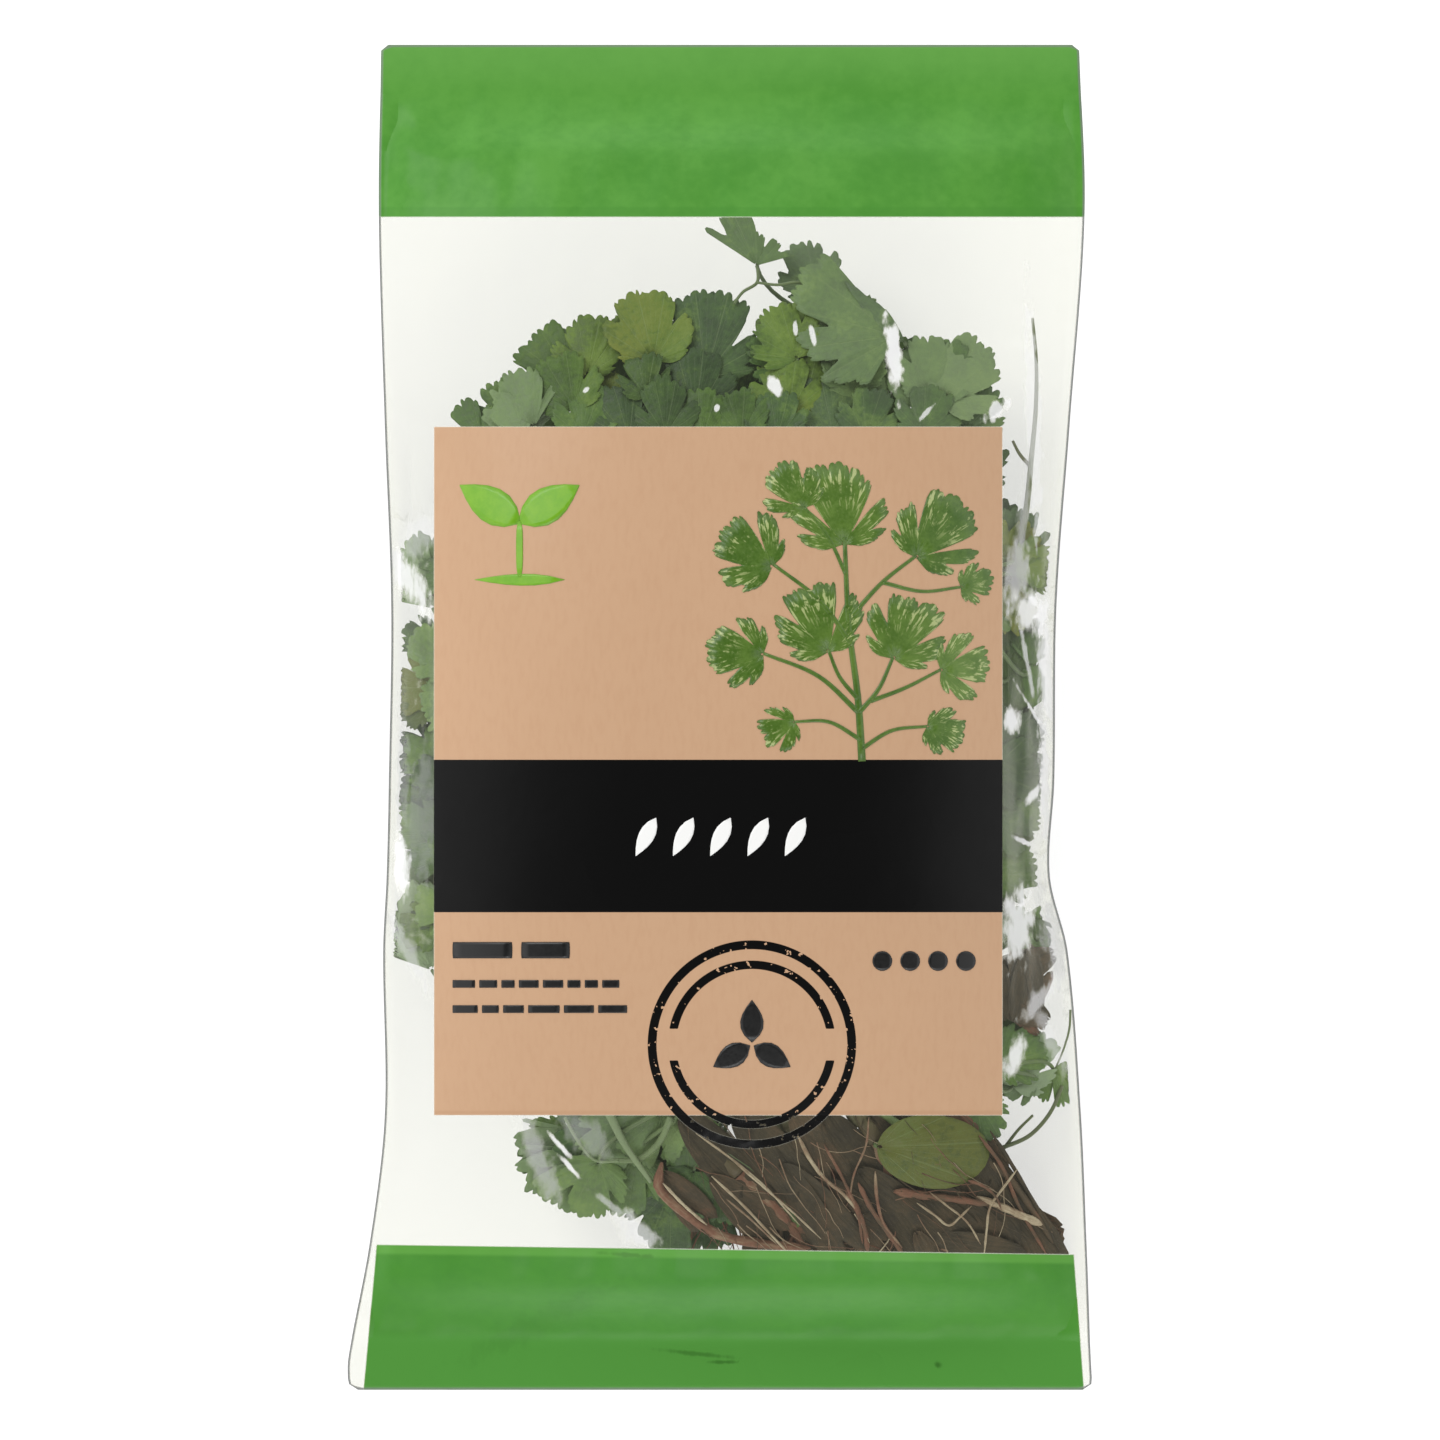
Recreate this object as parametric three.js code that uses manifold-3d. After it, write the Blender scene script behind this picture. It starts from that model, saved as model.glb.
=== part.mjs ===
// A bunch of fresh coriander, roots on, in a clear welded bag that lies on its back.
// Millimetres. +X is to the bag's right, +Y towards its head end, +Z up, and the table is z = 0.
import * as THREE from "three";
import { mergeVertices } from "three/addons/utils/BufferGeometryUtils.js";
import Module from "manifold-3d";

const wasm = await Module();
wasm.setup();

// ---- Driving dimensions --------------------------------------------------------------------

const bag = {
  length: 300, // cut end to cut end
  sealLength: 11, // the weld across each end
  weldWidth: 2, // the weld down each side
  weldGap: 0.3, // between the two walls, where they are welded
  wall: 0.8, // stands in for thin film
  sealHeight: 6, // of the end welds above the table
  sideRise: 11, // how much higher the side welds run in the middle
  frontBulge: 28, // of the front wall over the side welds
  rows: 16,
  columns: 12,
};

// The bag's outline, drawn in where it bulges: [y, left edge, right edge].
const outline = [
  [-150, -83, 83],
  [-143, -83, 82.6],
  [-117, -78, 81.4],
  [-88, -74.5, 80],
  [-52, -74.8, 77],
  [-35, -74, 73],
  [-14, -73.5, 74],
  [25, -73, 74.5],
  [65, -74.5, 77.5],
  [112, -76, 81],
  [150, -75.7, 80],
];

// The crowded plants lie in layers between the two walls, with two side by side in each layer.
const layers = 5;
const clearOfWall = 1.2;
// The room between the walls that leaf of each layer needs: one layer reaches into the edges.
const leastRoom = [11, 11, 11, 5, 11];
const blade = {
  half: 0.35, // of its thickness
  clear: 0.4, // from its layer's bounds
  inset: 0.12,
  arch: 0.004,
  tilt: 0.12,
};
const stalk = {
  crown: 1.3, // radii at the crown and at the leaf
  tip: 0.65,
  sides: 5,
  steps: 5,
  apart: 1.5, // between neighbours at the crown
  crownLength: 9,
  crownRadius: 2.4,
};
const leaf = {
  pairBack: 0.75, // shares of the end leaflet's length: down the stalk to the side leaflets,
  stem: 0.45, // along their own stems,
  side: 0.86, // and along their blades
  spread: 80, // degrees off the stalk
  spreadDraw: 16,
  tipOverlap: 3,
  waist: 0.56, // half widths of a leaflet's own stem, at the blade and at the stalk
  heel: 0.3,
};
const root = {
  gap: 0.3, // to the crown
  heading: -52,
  length: 34,
  tip: 0.8,
  wander: 18, // degrees a step
  steps: 6,
  sides: 5,
  rootlets: 4,
  rootletLength: 13,
  rootletRadius: 0.5,
  spread: 29, // degrees off the root, once to twice
};
const leastEdge = 0.02; // shorter edges left by a join are closed up

// Each plant: its layer from the bottom, which side of the layer's dividing line it keeps to, its
// crown, and its leaves as [x, y, heading, end leaflet's length, side leaflets].
const plants = [
  {
    layer: 0, side: -1, crown: [2, -96],
    leaves: [[-22, 68, 100, 14, 2], [-54, 30, 140, 14, 2], [-48, -26, 165, 13, 2], [-24, 10, 118, 14, 2]],
  },
  {
    layer: 0, side: 1, crown: [44, -98],
    leaves: [[14, 76, 88, 14, 2], [46, 60, 60, 14, 2], [58, 8, 25, 13, 2], [20, 12, 82, 14, 2]],
  },
  {
    layer: 1, side: -1, crown: [12, -93],
    leaves: [[-40, 62, 118, 14, 2], [-4, 76, 92, 14, 2], [-56, 0, 165, 14, 2], [2, -24, 104, 14, 2]],
  },
  {
    layer: 1, side: 1, crown: [52, -95],
    leaves: [[38, 74, 66, 14, 2], [60, 38, 40, 13, 2], [60, -24, 12, 13, 2], [32, 20, 86, 13, 2]],
  },
  {
    layer: 2, side: -1, crown: [-6, -97],
    leaves: [[-52, 44, 132, 14, 2], [-12, 70, 92, 14, 2], [-57, -42, 175, 13, 2], [-34, -94, 214, 14, 2]],
  },
  {
    layer: 2, side: 1, crown: [38, -96],
    leaves: [[24, 80, 82, 14, 2], [54, 52, 50, 14, 2], [62, -4, 15, 12, 2], [18, 46, 84, 14, 2]],
  },
  {
    layer: 3, side: -1, crown: [20, -95],
    leaves: [[-30, 75, 108, 14, 2], [-4, 82, 90, 14, 2], [-62, -10, 178, 12, 2], [-50, 34, 148, 14, 2]],
  },
  {
    layer: 3, side: 1, crown: [50, -92],
    leaves: [[21, 95, 128, 13, 2], [30, 74, 66, 14, 2], [63, 35, 20, 12, 2], [64, -50, 10, 12, 2]],
  },
  {
    layer: 4, side: -1, crown: [4, -100],
    leaves: [[-16, 80, 96, 15, 2], [-43, 64, 124, 13, 2], [-60, 12, 160, 12, 2], [-58, -42, 195, 12, 2]],
  },
  {
    layer: 4, side: 1, crown: [34, -93],
    leaves: [[16, 79, 84, 15, 2], [46, 71, 42, 15, 2], [62, -76, 40, 12, 2], [46, -93, -8, 15, 0]],
  },
];

// Each layer's dividing line runs from between its two crowns to this x at the head end, and below
// the crowns it runs the way the roots do.
const divideFootY = -97;
const divideHeadX = [-8, 12, 4, 3, -2];
const divideHeadY = 110;

const colours = { film: 0xf4f5ee, leaf: 0x4f7038, root: 0x7d6448 };

// ---- The bag's shape -----------------------------------------------------------------------

// A smooth curve through the outline's points, at y.
function outlineAt(y, column) {
  const last = outline.length - 1;
  const slope = (i) => {
    const [a, b] = [Math.max(i - 1, 0), Math.min(i + 1, last)];
    return (outline[b][column] - outline[a][column]) / (outline[b][0] - outline[a][0]);
  };
  let i = 0;
  while (i < last - 1 && y > outline[i + 1][0]) i++;
  const span = outline[i + 1][0] - outline[i][0];
  const s = (y - outline[i][0]) / span;
  const s2 = s * s;
  const s3 = s2 * s;
  return (
    (2 * s3 - 3 * s2 + 1) * outline[i][column] +
    (s3 - 2 * s2 + s) * span * slope(i) +
    (3 * s2 - 2 * s3) * outline[i + 1][column] +
    (s3 - s2) * span * slope(i + 1)
  );
}

// How far the bag is blown up along its length: 0 at the end welds and 1 in the middle.
function swell(y) {
  const a = Math.min(1, Math.abs(y) / (bag.length / 2 - bag.sealLength));
  return y > 0 ? (1 - a ** 1.9) ** 0.75 : (1 - a ** 2.4) ** 0.62;
}

// The same across its width, from 1 in the middle to 0 at the side welds.
function across(x, y) {
  const left = outlineAt(y, 1) + bag.weldWidth;
  const right = outlineAt(y, 2) - bag.weldWidth;
  return Math.min(1, Math.abs((2 * x - left - right) / (right - left)));
}

// The inner faces of the back wall and the front wall, at x, y.
function walls(x, y) {
  const along = swell(y);
  const u = across(x, y);
  const weld = bag.sealHeight + bag.sideRise * along;
  const low = weld - bag.weldGap / 2;
  const sink = Math.min(1, 1.35 * (1 - u ** 3.2) ** 0.8 * along ** 0.7);
  return {
    back: low - (low - bag.wall) * sink,
    front: weld + bag.weldGap / 2 + bag.frontBulge * along * (1 - u ** 3) ** 0.75,
  };
}

// The height of a place inside the bag, t = 0 on the back wall and 1 under the front wall.
function inside(x, y, t) {
  const { back, front } = walls(x, y);
  return back + clearOfWall + t * (front - back - 2 * clearOfWall);
}

function room(x, y) {
  const { back, front } = walls(x, y);
  return front - back;
}

// Keeps a height within a layer, half a thickness and a little clearance inside it. The inset keeps
// leaflets that press on the same bound from lying exactly in each other.
function within(x, y, layer, half, z, inset = 0) {
  const low = inside(x, y, layer / layers) + half + blade.clear + inset;
  const high = inside(x, y, (layer + 1) / layers) - half - blade.clear - inset;
  return low < high ? Math.min(high, Math.max(low, z)) : (low + high) / 2 + inset;
}

// ---- Solids --------------------------------------------------------------------------------

const radians = THREE.MathUtils.degToRad;
const mix = THREE.MathUtils.lerp;

// A geometry of three.js with its seams closed and each point moved to where place puts it.
function reshaped(geometry, place) {
  geometry.deleteAttribute("normal");
  geometry.deleteAttribute("uv");
  const closed = mergeVertices(geometry);
  const points = closed.attributes.position;
  for (let i = 0; i < points.count; i++) {
    const to = place(points.getX(i), points.getY(i), points.getZ(i));
    points.setXYZ(i, to.x, to.y, to.z);
  }
  return closed;
}

function solidFrom(geometry) {
  const vertProperties = new Float32Array(geometry.attributes.position.array);
  const triVerts = new Uint32Array(geometry.index.array);
  return new wasm.Manifold(new wasm.Mesh({ numProp: 3, vertProperties, triVerts }));
}

// Joins solids. Leaves that cross can close off a pocket between them, and it is filled.
function joined(solids) {
  const shells = wasm.Manifold.union(solids).simplify(leastEdge).decompose();
  return wasm.Manifold.compose(shells.filter((shell) => shell.volume() > 0));
}

// A round stem along a path of points, with its own radius at each.
function stem(path, radii, sides) {
  const last = path.length - 1;
  const tube = new THREE.CylinderGeometry(1, 1, last, sides, last);
  const shaped = reshaped(tube, (x, y, z) => {
    const i = Math.round(y + last / 2);
    const along = path[Math.min(i + 1, last)].clone().sub(path[Math.max(i - 1, 0)]).normalize();
    const level = new THREE.Vector3(along.y, -along.x, 0).normalize();
    const up = new THREE.Vector3().crossVectors(level, along);
    return path[i].clone().addScaledVector(level, radii[i] * x).addScaledVector(up, radii[i] * z);
  });
  return solidFrom(shaped);
}

// A thin blade: its middle and its rim are points, and its two faces lie just over and under them.
function bladeSolid(middle, rim) {
  const disc = new THREE.CylinderGeometry(1, 1, 2 * blade.half, rim.length);
  const shaped = reshaped(disc, (x, y, z) => {
    const k = Math.round((Math.atan2(x, z) * rim.length) / (2 * Math.PI));
    const at = Math.hypot(x, z) < 0.5 ? middle : rim.at(k % rim.length);
    return new THREE.Vector3(at.x, at.y, at.z + y);
  });
  return solidFrom(shaped);
}

// ---- Draws, each plant with its own seed ---------------------------------------------------

function drawsFrom(seed) {
  let state = seed;
  return () => {
    state = (state + 0x6d2b79f5) | 0;
    let t = Math.imul(state ^ (state >>> 15), 1 | state);
    t = (t + Math.imul(t ^ (t >>> 7), 61 | t)) ^ t;
    return ((t ^ (t >>> 14)) >>> 0) / 4294967296;
  };
}

// ---- Leaves --------------------------------------------------------------------------------

// Half a leaflet's rim from beside its foot to its tip, as [angle off its midrib, share of its
// length]: a side lobe with two teeth, and half of a middle lobe with three.
const halfRim = [[66, 0.74], [54, 0.68], [46, 0.9], [32, 0.6], [21, 0.97], [10, 0.87]];
const rimShape = [...halfRim.map(([a, s]) => [-a, s]), [0, 1], ...halfRim.toReversed()];
const middleShape = [0, 0.4];

function divideX(layer, y) {
  const pair = plants.filter((p) => p.layer === layer);
  const foot = (pair[0].crown[0] + pair[1].crown[0]) / 2;
  if (y < divideFootY) return foot + (y - divideFootY) / Math.tan(radians(root.heading));
  return mix(foot, divideHeadX[layer], (y - divideFootY) / (divideHeadY - divideFootY));
}

// How far a place is inside the plant's own side of its layer's dividing line.
function ownSide(plant, { x, y }) {
  return plant.side * (x - divideX(plant.layer, y));
}

function moved(from, heading, distance) {
  const turn = radians(heading);
  return new THREE.Vector3(from.x + distance * Math.cos(turn), from.y + distance * Math.sin(turn), from.z);
}

// The same, but drawn back to the plant's own side, and to where the walls leave its layer room.
function movedWithRoom(plant, from, heading, distance) {
  const to = moved(from, heading, distance);
  const fits = () => ownSide(plant, to) > 1 && room(to.x, to.y) > leastRoom[plant.layer];
  while (!fits() && to.distanceTo(from) > 2) to.lerp(from, 0.14);
  return to;
}

// The place and heading at a distance back from the tip of a stalk.
function backFrom(points, distance) {
  let i = points.length - 1;
  while (i > 1 && distance > points[i].distanceTo(points[i - 1])) {
    distance -= points[i].distanceTo(points[i - 1]);
    i--;
  }
  const step = points[i].clone().sub(points[i - 1]);
  return {
    at: points[i].clone().addScaledVector(step, -distance / step.length()),
    heading: THREE.MathUtils.radToDeg(Math.atan2(step.y, step.x)),
  };
}

// The leaflets of one leaf, at its stalk's tip and to both sides a little down from it: each one's
// foot on the stalk, its heading, its own stem's length, its blade's length and its blade's tilts.
function leafletsOf(plant, [, , , length, sideCount], points, draw) {
  const tilts = () => [blade.tilt * (2 * draw() - 1), blade.tilt * (2 * draw() - 1)];
  const tip = backFrom(points, leaf.tipOverlap);
  const found = [{ foot: tip.at, heading: tip.heading, stem: leaf.tipOverlap - 1, length, tilts: tilts() }];
  const pair = backFrom(points, length * leaf.pairBack);
  for (const hand of [-1, 1].slice(0, sideCount)) {
    const heading = pair.heading + hand * (leaf.spread + leaf.spreadDraw * (draw() - 0.5));
    const side = length * leaf.side;
    found.push({ foot: pair.at, heading, stem: length * leaf.stem, length: side, tilts: tilts() });
  }
  return found.filter((l) => {
    const middle = moved(l.foot, l.heading, l.stem + 0.5 * l.length);
    return ownSide(plant, middle) > 0.62 * l.length;
  });
}

function leafletSolid(plant, { foot, heading, stem, length, tilts }, t, inset) {
  const base = moved(foot, heading, stem);
  const settled = (p, lift) =>
    p.setZ(within(p.x, p.y, plant.layer, blade.half, inside(p.x, p.y, t) + lift, inset));
  const onBlade = ([angle, share]) => {
    const place = movedWithRoom(plant, base, heading + angle, share * length);
    const reach = Math.hypot(place.x - base.x, place.y - base.y);
    const lean = tilts[0] * Math.cos(radians(angle)) + tilts[1] * Math.sin(radians(angle));
    return settled(place, reach * (lean - blade.arch * reach));
  };
  const waist = (hand) => settled(moved(base, heading + 90 * hand, leaf.waist), 0);
  const heel = (hand) => moved(foot, heading + 90 * hand, leaf.heel);
  const rim = [heel(-1), waist(-1), ...rimShape.map(onBlade), waist(1), heel(1)];
  return bladeSolid(onBlade(middleShape), rim);
}

// ---- Stalks and roots ----------------------------------------------------------------------

const layerMiddle = (plant) => (plant.layer + 0.5) / layers;

// The way the crown points: from the root towards the leaves.
function crownHeading(plant) {
  return root.heading + 180 + (plant.side > 0 ? -12 : 6);
}

// A place along the crown's line, and beside it.
function crownPoint(plant, along, beside = 0) {
  const crown = new THREE.Vector3(...plant.crown, 0);
  return moved(moved(crown, crownHeading(plant), along), crownHeading(plant) + 90, beside);
}

// Stalks leave the crown in the order of their leaves' directions, so that they don't cross.
function orderOf(plant, row) {
  const direction = ([x, y]) => {
    const off = Math.atan2(y - plant.crown[1], x - plant.crown[0]) - radians(crownHeading(plant));
    return Math.atan2(Math.sin(off), Math.cos(off));
  };
  return plant.leaves.filter((other) => direction(other) < direction(row)).length;
}

// A stalk's centre line: side by side with the others out of the crown, round in one bend, and
// into its leaf along the leaf's heading.
function stalkPoints(plant, row, t) {
  const [x, y, heading] = row;
  const beside = (orderOf(plant, row) - (plant.leaves.length - 1) / 2) * stalk.apart;
  const start = crownPoint(plant, stalk.crownLength * 0.5, beside);
  const tip = new THREE.Vector3(x, y, 0);
  const span = start.distanceTo(tip);
  const leave = crownPoint(plant, stalk.crownLength * 0.5 + span * 0.34, beside);
  const arrive = moved(tip, heading, -0.3 * span);
  const points = new THREE.CubicBezierCurve3(start, leave, arrive, tip).getPoints(stalk.steps);
  points.forEach((p, i) => {
    const least = stalkRadius(i) + 0.3;
    if (ownSide(plant, p) < least) p.x += plant.side * (least - ownSide(plant, p));
    const level = inside(p.x, p.y, mix(layerMiddle(plant), t, i / stalk.steps));
    p.z = within(p.x, p.y, plant.layer, stalkRadius(i), level);
  });
  return points;
}

function stalkRadius(i) {
  return mix(stalk.crown, stalk.tip, i / stalk.steps);
}

function crownSolid(plant) {
  const path = [0, 0.4, 1].map((share) => {
    const p = crownPoint(plant, share * stalk.crownLength);
    return p.setZ(inside(p.x, p.y, layerMiddle(plant)));
  });
  return stem(path, [stalk.crownRadius, stalk.crownRadius * 0.92, stalk.crown], 6);
}

function greenSolid(plant, draw) {
  const solids = [crownSolid(plant)];
  plant.leaves.forEach((row, i) => {
    const t = (plant.layer + mix(0.2, 0.8, i / (plant.leaves.length - 1))) / layers;
    const points = stalkPoints(plant, row, t);
    solids.push(stem(points, points.map((_, k) => stalkRadius(k)), stalk.sides));
    for (const leaflet of leafletsOf(plant, row, points, draw)) {
      const inset = blade.inset * (solids.length % 4);
      solids.push(leafletSolid(plant, leaflet, t, inset));
    }
  });
  return joined(solids);
}

// A tap root that wanders away from the crown, with rootlets off its sides.
function rootSolid(plant, draw) {
  const level = layerMiddle(plant);
  const settled = (p, radius, t) =>
    p.setZ(within(p.x, p.y, plant.layer, radius, inside(p.x, p.y, t)));
  let heading = crownHeading(plant) + 180;
  const step = (root.length / root.steps) * (0.85 + 0.3 * draw());
  const path = [settled(crownPoint(plant, -root.gap), stalk.crownRadius, level)];
  const radii = [stalk.crownRadius];
  for (let i = 1; i <= root.steps; i++) {
    heading += root.wander * (draw() - 0.5);
    radii.push(mix(stalk.crownRadius * 0.9, root.tip, (i / root.steps) ** 0.7));
    path.push(settled(movedWithRoom(plant, path[i - 1], heading, step), radii[i], level));
  }
  const solids = [stem(path, radii, root.sides)];
  for (let i = 0; i < root.rootlets; i++) {
    const from = path[1 + (i % (root.steps - 1))];
    const out = heading + (i % 2 ? 1 : -1) * (root.spread + root.spread * draw());
    const reach = root.rootletLength * (0.65 + 0.7 * draw());
    const points = [0.5, 1].map((share) => {
      const end = movedWithRoom(plant, from, out + 25 * share * (draw() - 0.5), share * reach);
      return settled(end, root.rootletRadius, level + (0.3 * (draw() - 0.5)) / layers);
    });
    const thins = [1.2, 1, 0.8].map((share) => share * root.rootletRadius);
    solids.push(stem([from, ...points], thins, 3));
  }
  return joined(solids);
}

// ---- The film ------------------------------------------------------------------------------

// The side edges of a wall and then its middle part, closer together towards the side welds.
function wallX(column, y) {
  const [left, right] = [outlineAt(y, 1), outlineAt(y, 2)];
  if (column === 0) return left;
  if (column === bag.columns) return right;
  const share = Math.sin(Math.PI * ((column - 1) / (bag.columns - 2) - 0.5));
  return (left + right) / 2 + share * ((right - left) / 2 - bag.weldWidth);
}

// The cut ends, and between the end welds rows that are closer together towards them.
function wallY(row) {
  if (row === 0) return -bag.length / 2;
  if (row === bag.rows) return bag.length / 2;
  const share = Math.sin(Math.PI * ((row - 1) / (bag.rows - 2) - 0.5));
  return share * (bag.length / 2 - bag.sealLength);
}

function innerPoint(wall, column, row) {
  const y = wallY(row);
  const x = wallX(column, y);
  return new THREE.Vector3(x, y, walls(x, y)[wall]);
}

// The outer face lies one thickness out along the inner face's normal, and straight up or down
// from it at the side edges.
function outerPoint(wall, column, row) {
  const side = wall === "front" ? 1 : -1;
  const near = (i, j) =>
    innerPoint(wall, Math.min(bag.columns, Math.max(0, i)), Math.min(bag.rows, Math.max(0, j)));
  const alongX = near(column + 1, row).sub(near(column - 1, row));
  const alongY = near(column, row + 1).sub(near(column, row - 1));
  const normal = alongX.cross(alongY).normalize();
  if (column === 0 || column === bag.columns) normal.set(0, 0, 1);
  const point = innerPoint(wall, column, row).addScaledVector(normal, side * bag.wall);
  point.z = Math.max(0, point.z);
  return point;
}

// One wall of the bag: a flat slab with a face for each side of the film.
function wallSolid(wall) {
  const slab = new THREE.BoxGeometry(bag.columns, bag.rows, 1, bag.columns, bag.rows, 1);
  const shaped = reshaped(slab, (x, y, z) => {
    const column = Math.round(x + bag.columns / 2);
    const row = Math.round(y + bag.rows / 2);
    const outside = wall === "front" ? z > 0 : z < 0;
    return outside ? outerPoint(wall, column, row) : innerPoint(wall, column, row);
  });
  return solidFrom(shaped);
}

// ---- The object ----------------------------------------------------------------------------

function meshOf(name, solid, material) {
  const { vertProperties, triVerts } = solid.getMesh();
  const geometry = new THREE.BufferGeometry();
  geometry.setAttribute("position", new THREE.BufferAttribute(new Float32Array(vertProperties), 3));
  geometry.setIndex(new THREE.BufferAttribute(new Uint32Array(triVerts), 1));
  geometry.computeVertexNormals();
  const mesh = new THREE.Mesh(geometry, material);
  mesh.name = name;
  return mesh;
}

const filmMaterial = new THREE.MeshStandardMaterial({
  color: colours.film, roughness: 0.2, metalness: 0, transparent: true, opacity: 0.25,
});
const leafMaterial = new THREE.MeshStandardMaterial({ color: colours.leaf, roughness: 0.6, metalness: 0 });
const rootMaterial = new THREE.MeshStandardMaterial({ color: colours.root, roughness: 0.9, metalness: 0 });

const bunch = new THREE.Group();
bunch.add(meshOf("film_back", wallSolid("back"), filmMaterial));
bunch.add(meshOf("film_front", wallSolid("front"), filmMaterial));
plants.forEach((plant, i) => {
  const draw = drawsFrom(101 + i);
  const number = String(i + 1).padStart(2, "0");
  bunch.add(meshOf(`plant_${number}_leaves`, greenSolid(plant, draw), leafMaterial));
  bunch.add(meshOf(`plant_${number}_root`, rootSolid(plant, draw), rootMaterial));
});

export default bunch;
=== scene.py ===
import math

import bpy
import numpy as np
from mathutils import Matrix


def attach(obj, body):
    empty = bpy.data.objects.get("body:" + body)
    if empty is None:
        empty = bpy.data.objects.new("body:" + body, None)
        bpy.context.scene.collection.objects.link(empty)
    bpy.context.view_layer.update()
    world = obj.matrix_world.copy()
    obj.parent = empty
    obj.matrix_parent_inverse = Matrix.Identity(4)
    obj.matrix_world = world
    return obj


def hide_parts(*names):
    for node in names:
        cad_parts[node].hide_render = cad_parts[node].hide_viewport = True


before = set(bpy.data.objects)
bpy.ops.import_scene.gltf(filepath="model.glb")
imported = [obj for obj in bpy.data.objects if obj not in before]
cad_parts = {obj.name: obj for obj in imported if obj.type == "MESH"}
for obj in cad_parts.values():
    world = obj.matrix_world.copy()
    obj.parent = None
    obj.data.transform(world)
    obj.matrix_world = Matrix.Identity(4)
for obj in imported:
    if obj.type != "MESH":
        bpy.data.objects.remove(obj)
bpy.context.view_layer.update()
scene = bpy.context.scene
mm = 0.001

view = dict(
    width=320.3,  # what the picture spans, at the height of the bag's edges
    edgeHeight=11.0,
    centre=(-0.1, -0.6),
    lens=200.0,
    sensor=36.0,
)
cameraDistance = view["width"] * view["lens"] / view["sensor"]


def addCamera():
    data = bpy.data.cameras.new("camera")
    data.lens = view["lens"]
    data.sensor_width = view["sensor"]
    data.clip_end = 20.0
    camera = bpy.data.objects.new("camera", data)
    x, y = view["centre"]
    camera.location = (x * mm, y * mm, (view["edgeHeight"] + cameraDistance) * mm)
    scene.collection.objects.link(camera)
    scene.camera = camera


# Print and landmark leaves are laid out flat, as they are seen from straight above. Higher places
# look a little further from the middle than they are.
def seenAt(x, y, z):
    scale = cameraDistance / (cameraDistance + view["edgeHeight"] - z)
    cx, cy = view["centre"]
    return cx + (x - cx) * scale, cy + (y - cy) * scale


def placeFor(x, y, z):
    scale = (cameraDistance + view["edgeHeight"] - z) / cameraDistance
    cx, cy = view["centre"]
    return cx + (x - cx) * scale, cy + (y - cy) * scale


# The bag's shape, as in the solids.
bag = dict(
    length=300.0,
    sealLength=11.0,
    weldWidth=2.0,
    weldGap=0.3,
    wall=0.8,
    sealHeight=6.0,
    sideRise=11.0,
    frontBulge=28.0,
    clearOfWall=1.2,
)
outline = np.array([  # y, left edge, right edge
    (-150, -83, 83), (-143, -83, 82.6), (-117, -78, 81.4), (-88, -74.5, 80), (-52, -74.8, 77),
    (-35, -74, 73), (-14, -73.5, 74), (25, -73, 74.5), (65, -74.5, 77.5), (112, -76, 81),
    (150, -75.7, 80),
])
lastRow = len(outline) - 1
rowBefore = np.maximum(np.arange(lastRow + 1) - 1, 0)
rowAfter = np.minimum(np.arange(lastRow + 1) + 1, lastRow)
outlineSlope = (outline[rowAfter] - outline[rowBefore]) / (
    outline[rowAfter, :1] - outline[rowBefore, :1]
)


def outlineAt(y, column):
    i = np.clip(np.searchsorted(outline[:, 0], y) - 1, 0, lastRow - 1)
    span = outline[i + 1, 0] - outline[i, 0]
    s = (y - outline[i, 0]) / span
    return eased(s, outline[i, column], span * outlineSlope[i, column],
                 outline[i + 1, column], span * outlineSlope[i + 1, column])


def swell(y):
    a = np.minimum(1, np.abs(y) / (bag["length"] / 2 - bag["sealLength"]))
    return np.where(y > 0, (1 - a**1.9) ** 0.75, (1 - a**2.4) ** 0.62)


def across(x, y):
    left = outlineAt(y, 1) + bag["weldWidth"]
    right = outlineAt(y, 2) - bag["weldWidth"]
    return np.minimum(1, np.abs((2 * x - left - right) / (right - left)))


# The inner faces of the back wall and the front wall.
def walls(x, y):
    along = swell(y)
    u = across(x, y)
    weld = bag["sealHeight"] + bag["sideRise"] * along
    low = weld - bag["weldGap"] / 2
    sink = np.minimum(1, 1.35 * (1 - u**3.2) ** 0.8 * along**0.7)
    back = low - (low - bag["wall"]) * sink
    front = weld + bag["weldGap"] / 2 + bag["frontBulge"] * along * (1 - u**3) ** 0.75
    return back, front


def inside(x, y, t):
    back, front = walls(x, y)
    return back + bag["clearOfWall"] + t * (front - back - 2 * bag["clearOfWall"])


def room(x, y):
    back, front = walls(x, y)
    return front - back


def smooth(value, low, high):
    s = np.clip((value - low) / (high - low), 0, 1)
    return s * s * (3 - 2 * s)


def mix(a, b, share):
    return a + (b - a) * share


# From a to b along a curve that leaves and arrives with the given slopes.
def eased(s, a, slopeA, b, slopeB):
    return ((2 * s**3 - 3 * s**2 + 1) * a + (s**3 - 2 * s**2 + s) * slopeA
            + (3 * s**2 - 2 * s**3) * b + (s**3 - s**2) * slopeB)


def bezier(s, a, b, c, d):
    return (1 - s) ** 3 * a + 3 * (1 - s) ** 2 * s * b + 3 * (1 - s) * s**2 * c + s**3 * d


def radians(degrees):
    return degrees * math.pi / 180


def moved(x, y, heading, distance):
    return x + distance * np.cos(radians(heading)), y + distance * np.sin(radians(heading))


# A piece collects closed shells. Each point carries a look (tone, lightness, its own number) and a
# place (along, angle, kind) for the materials to read. The film's look is where it is seen and how
# far that is from its edge.


def newPiece():
    return dict(points=[], faces=[], look=[], place=[], count=0)


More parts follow.
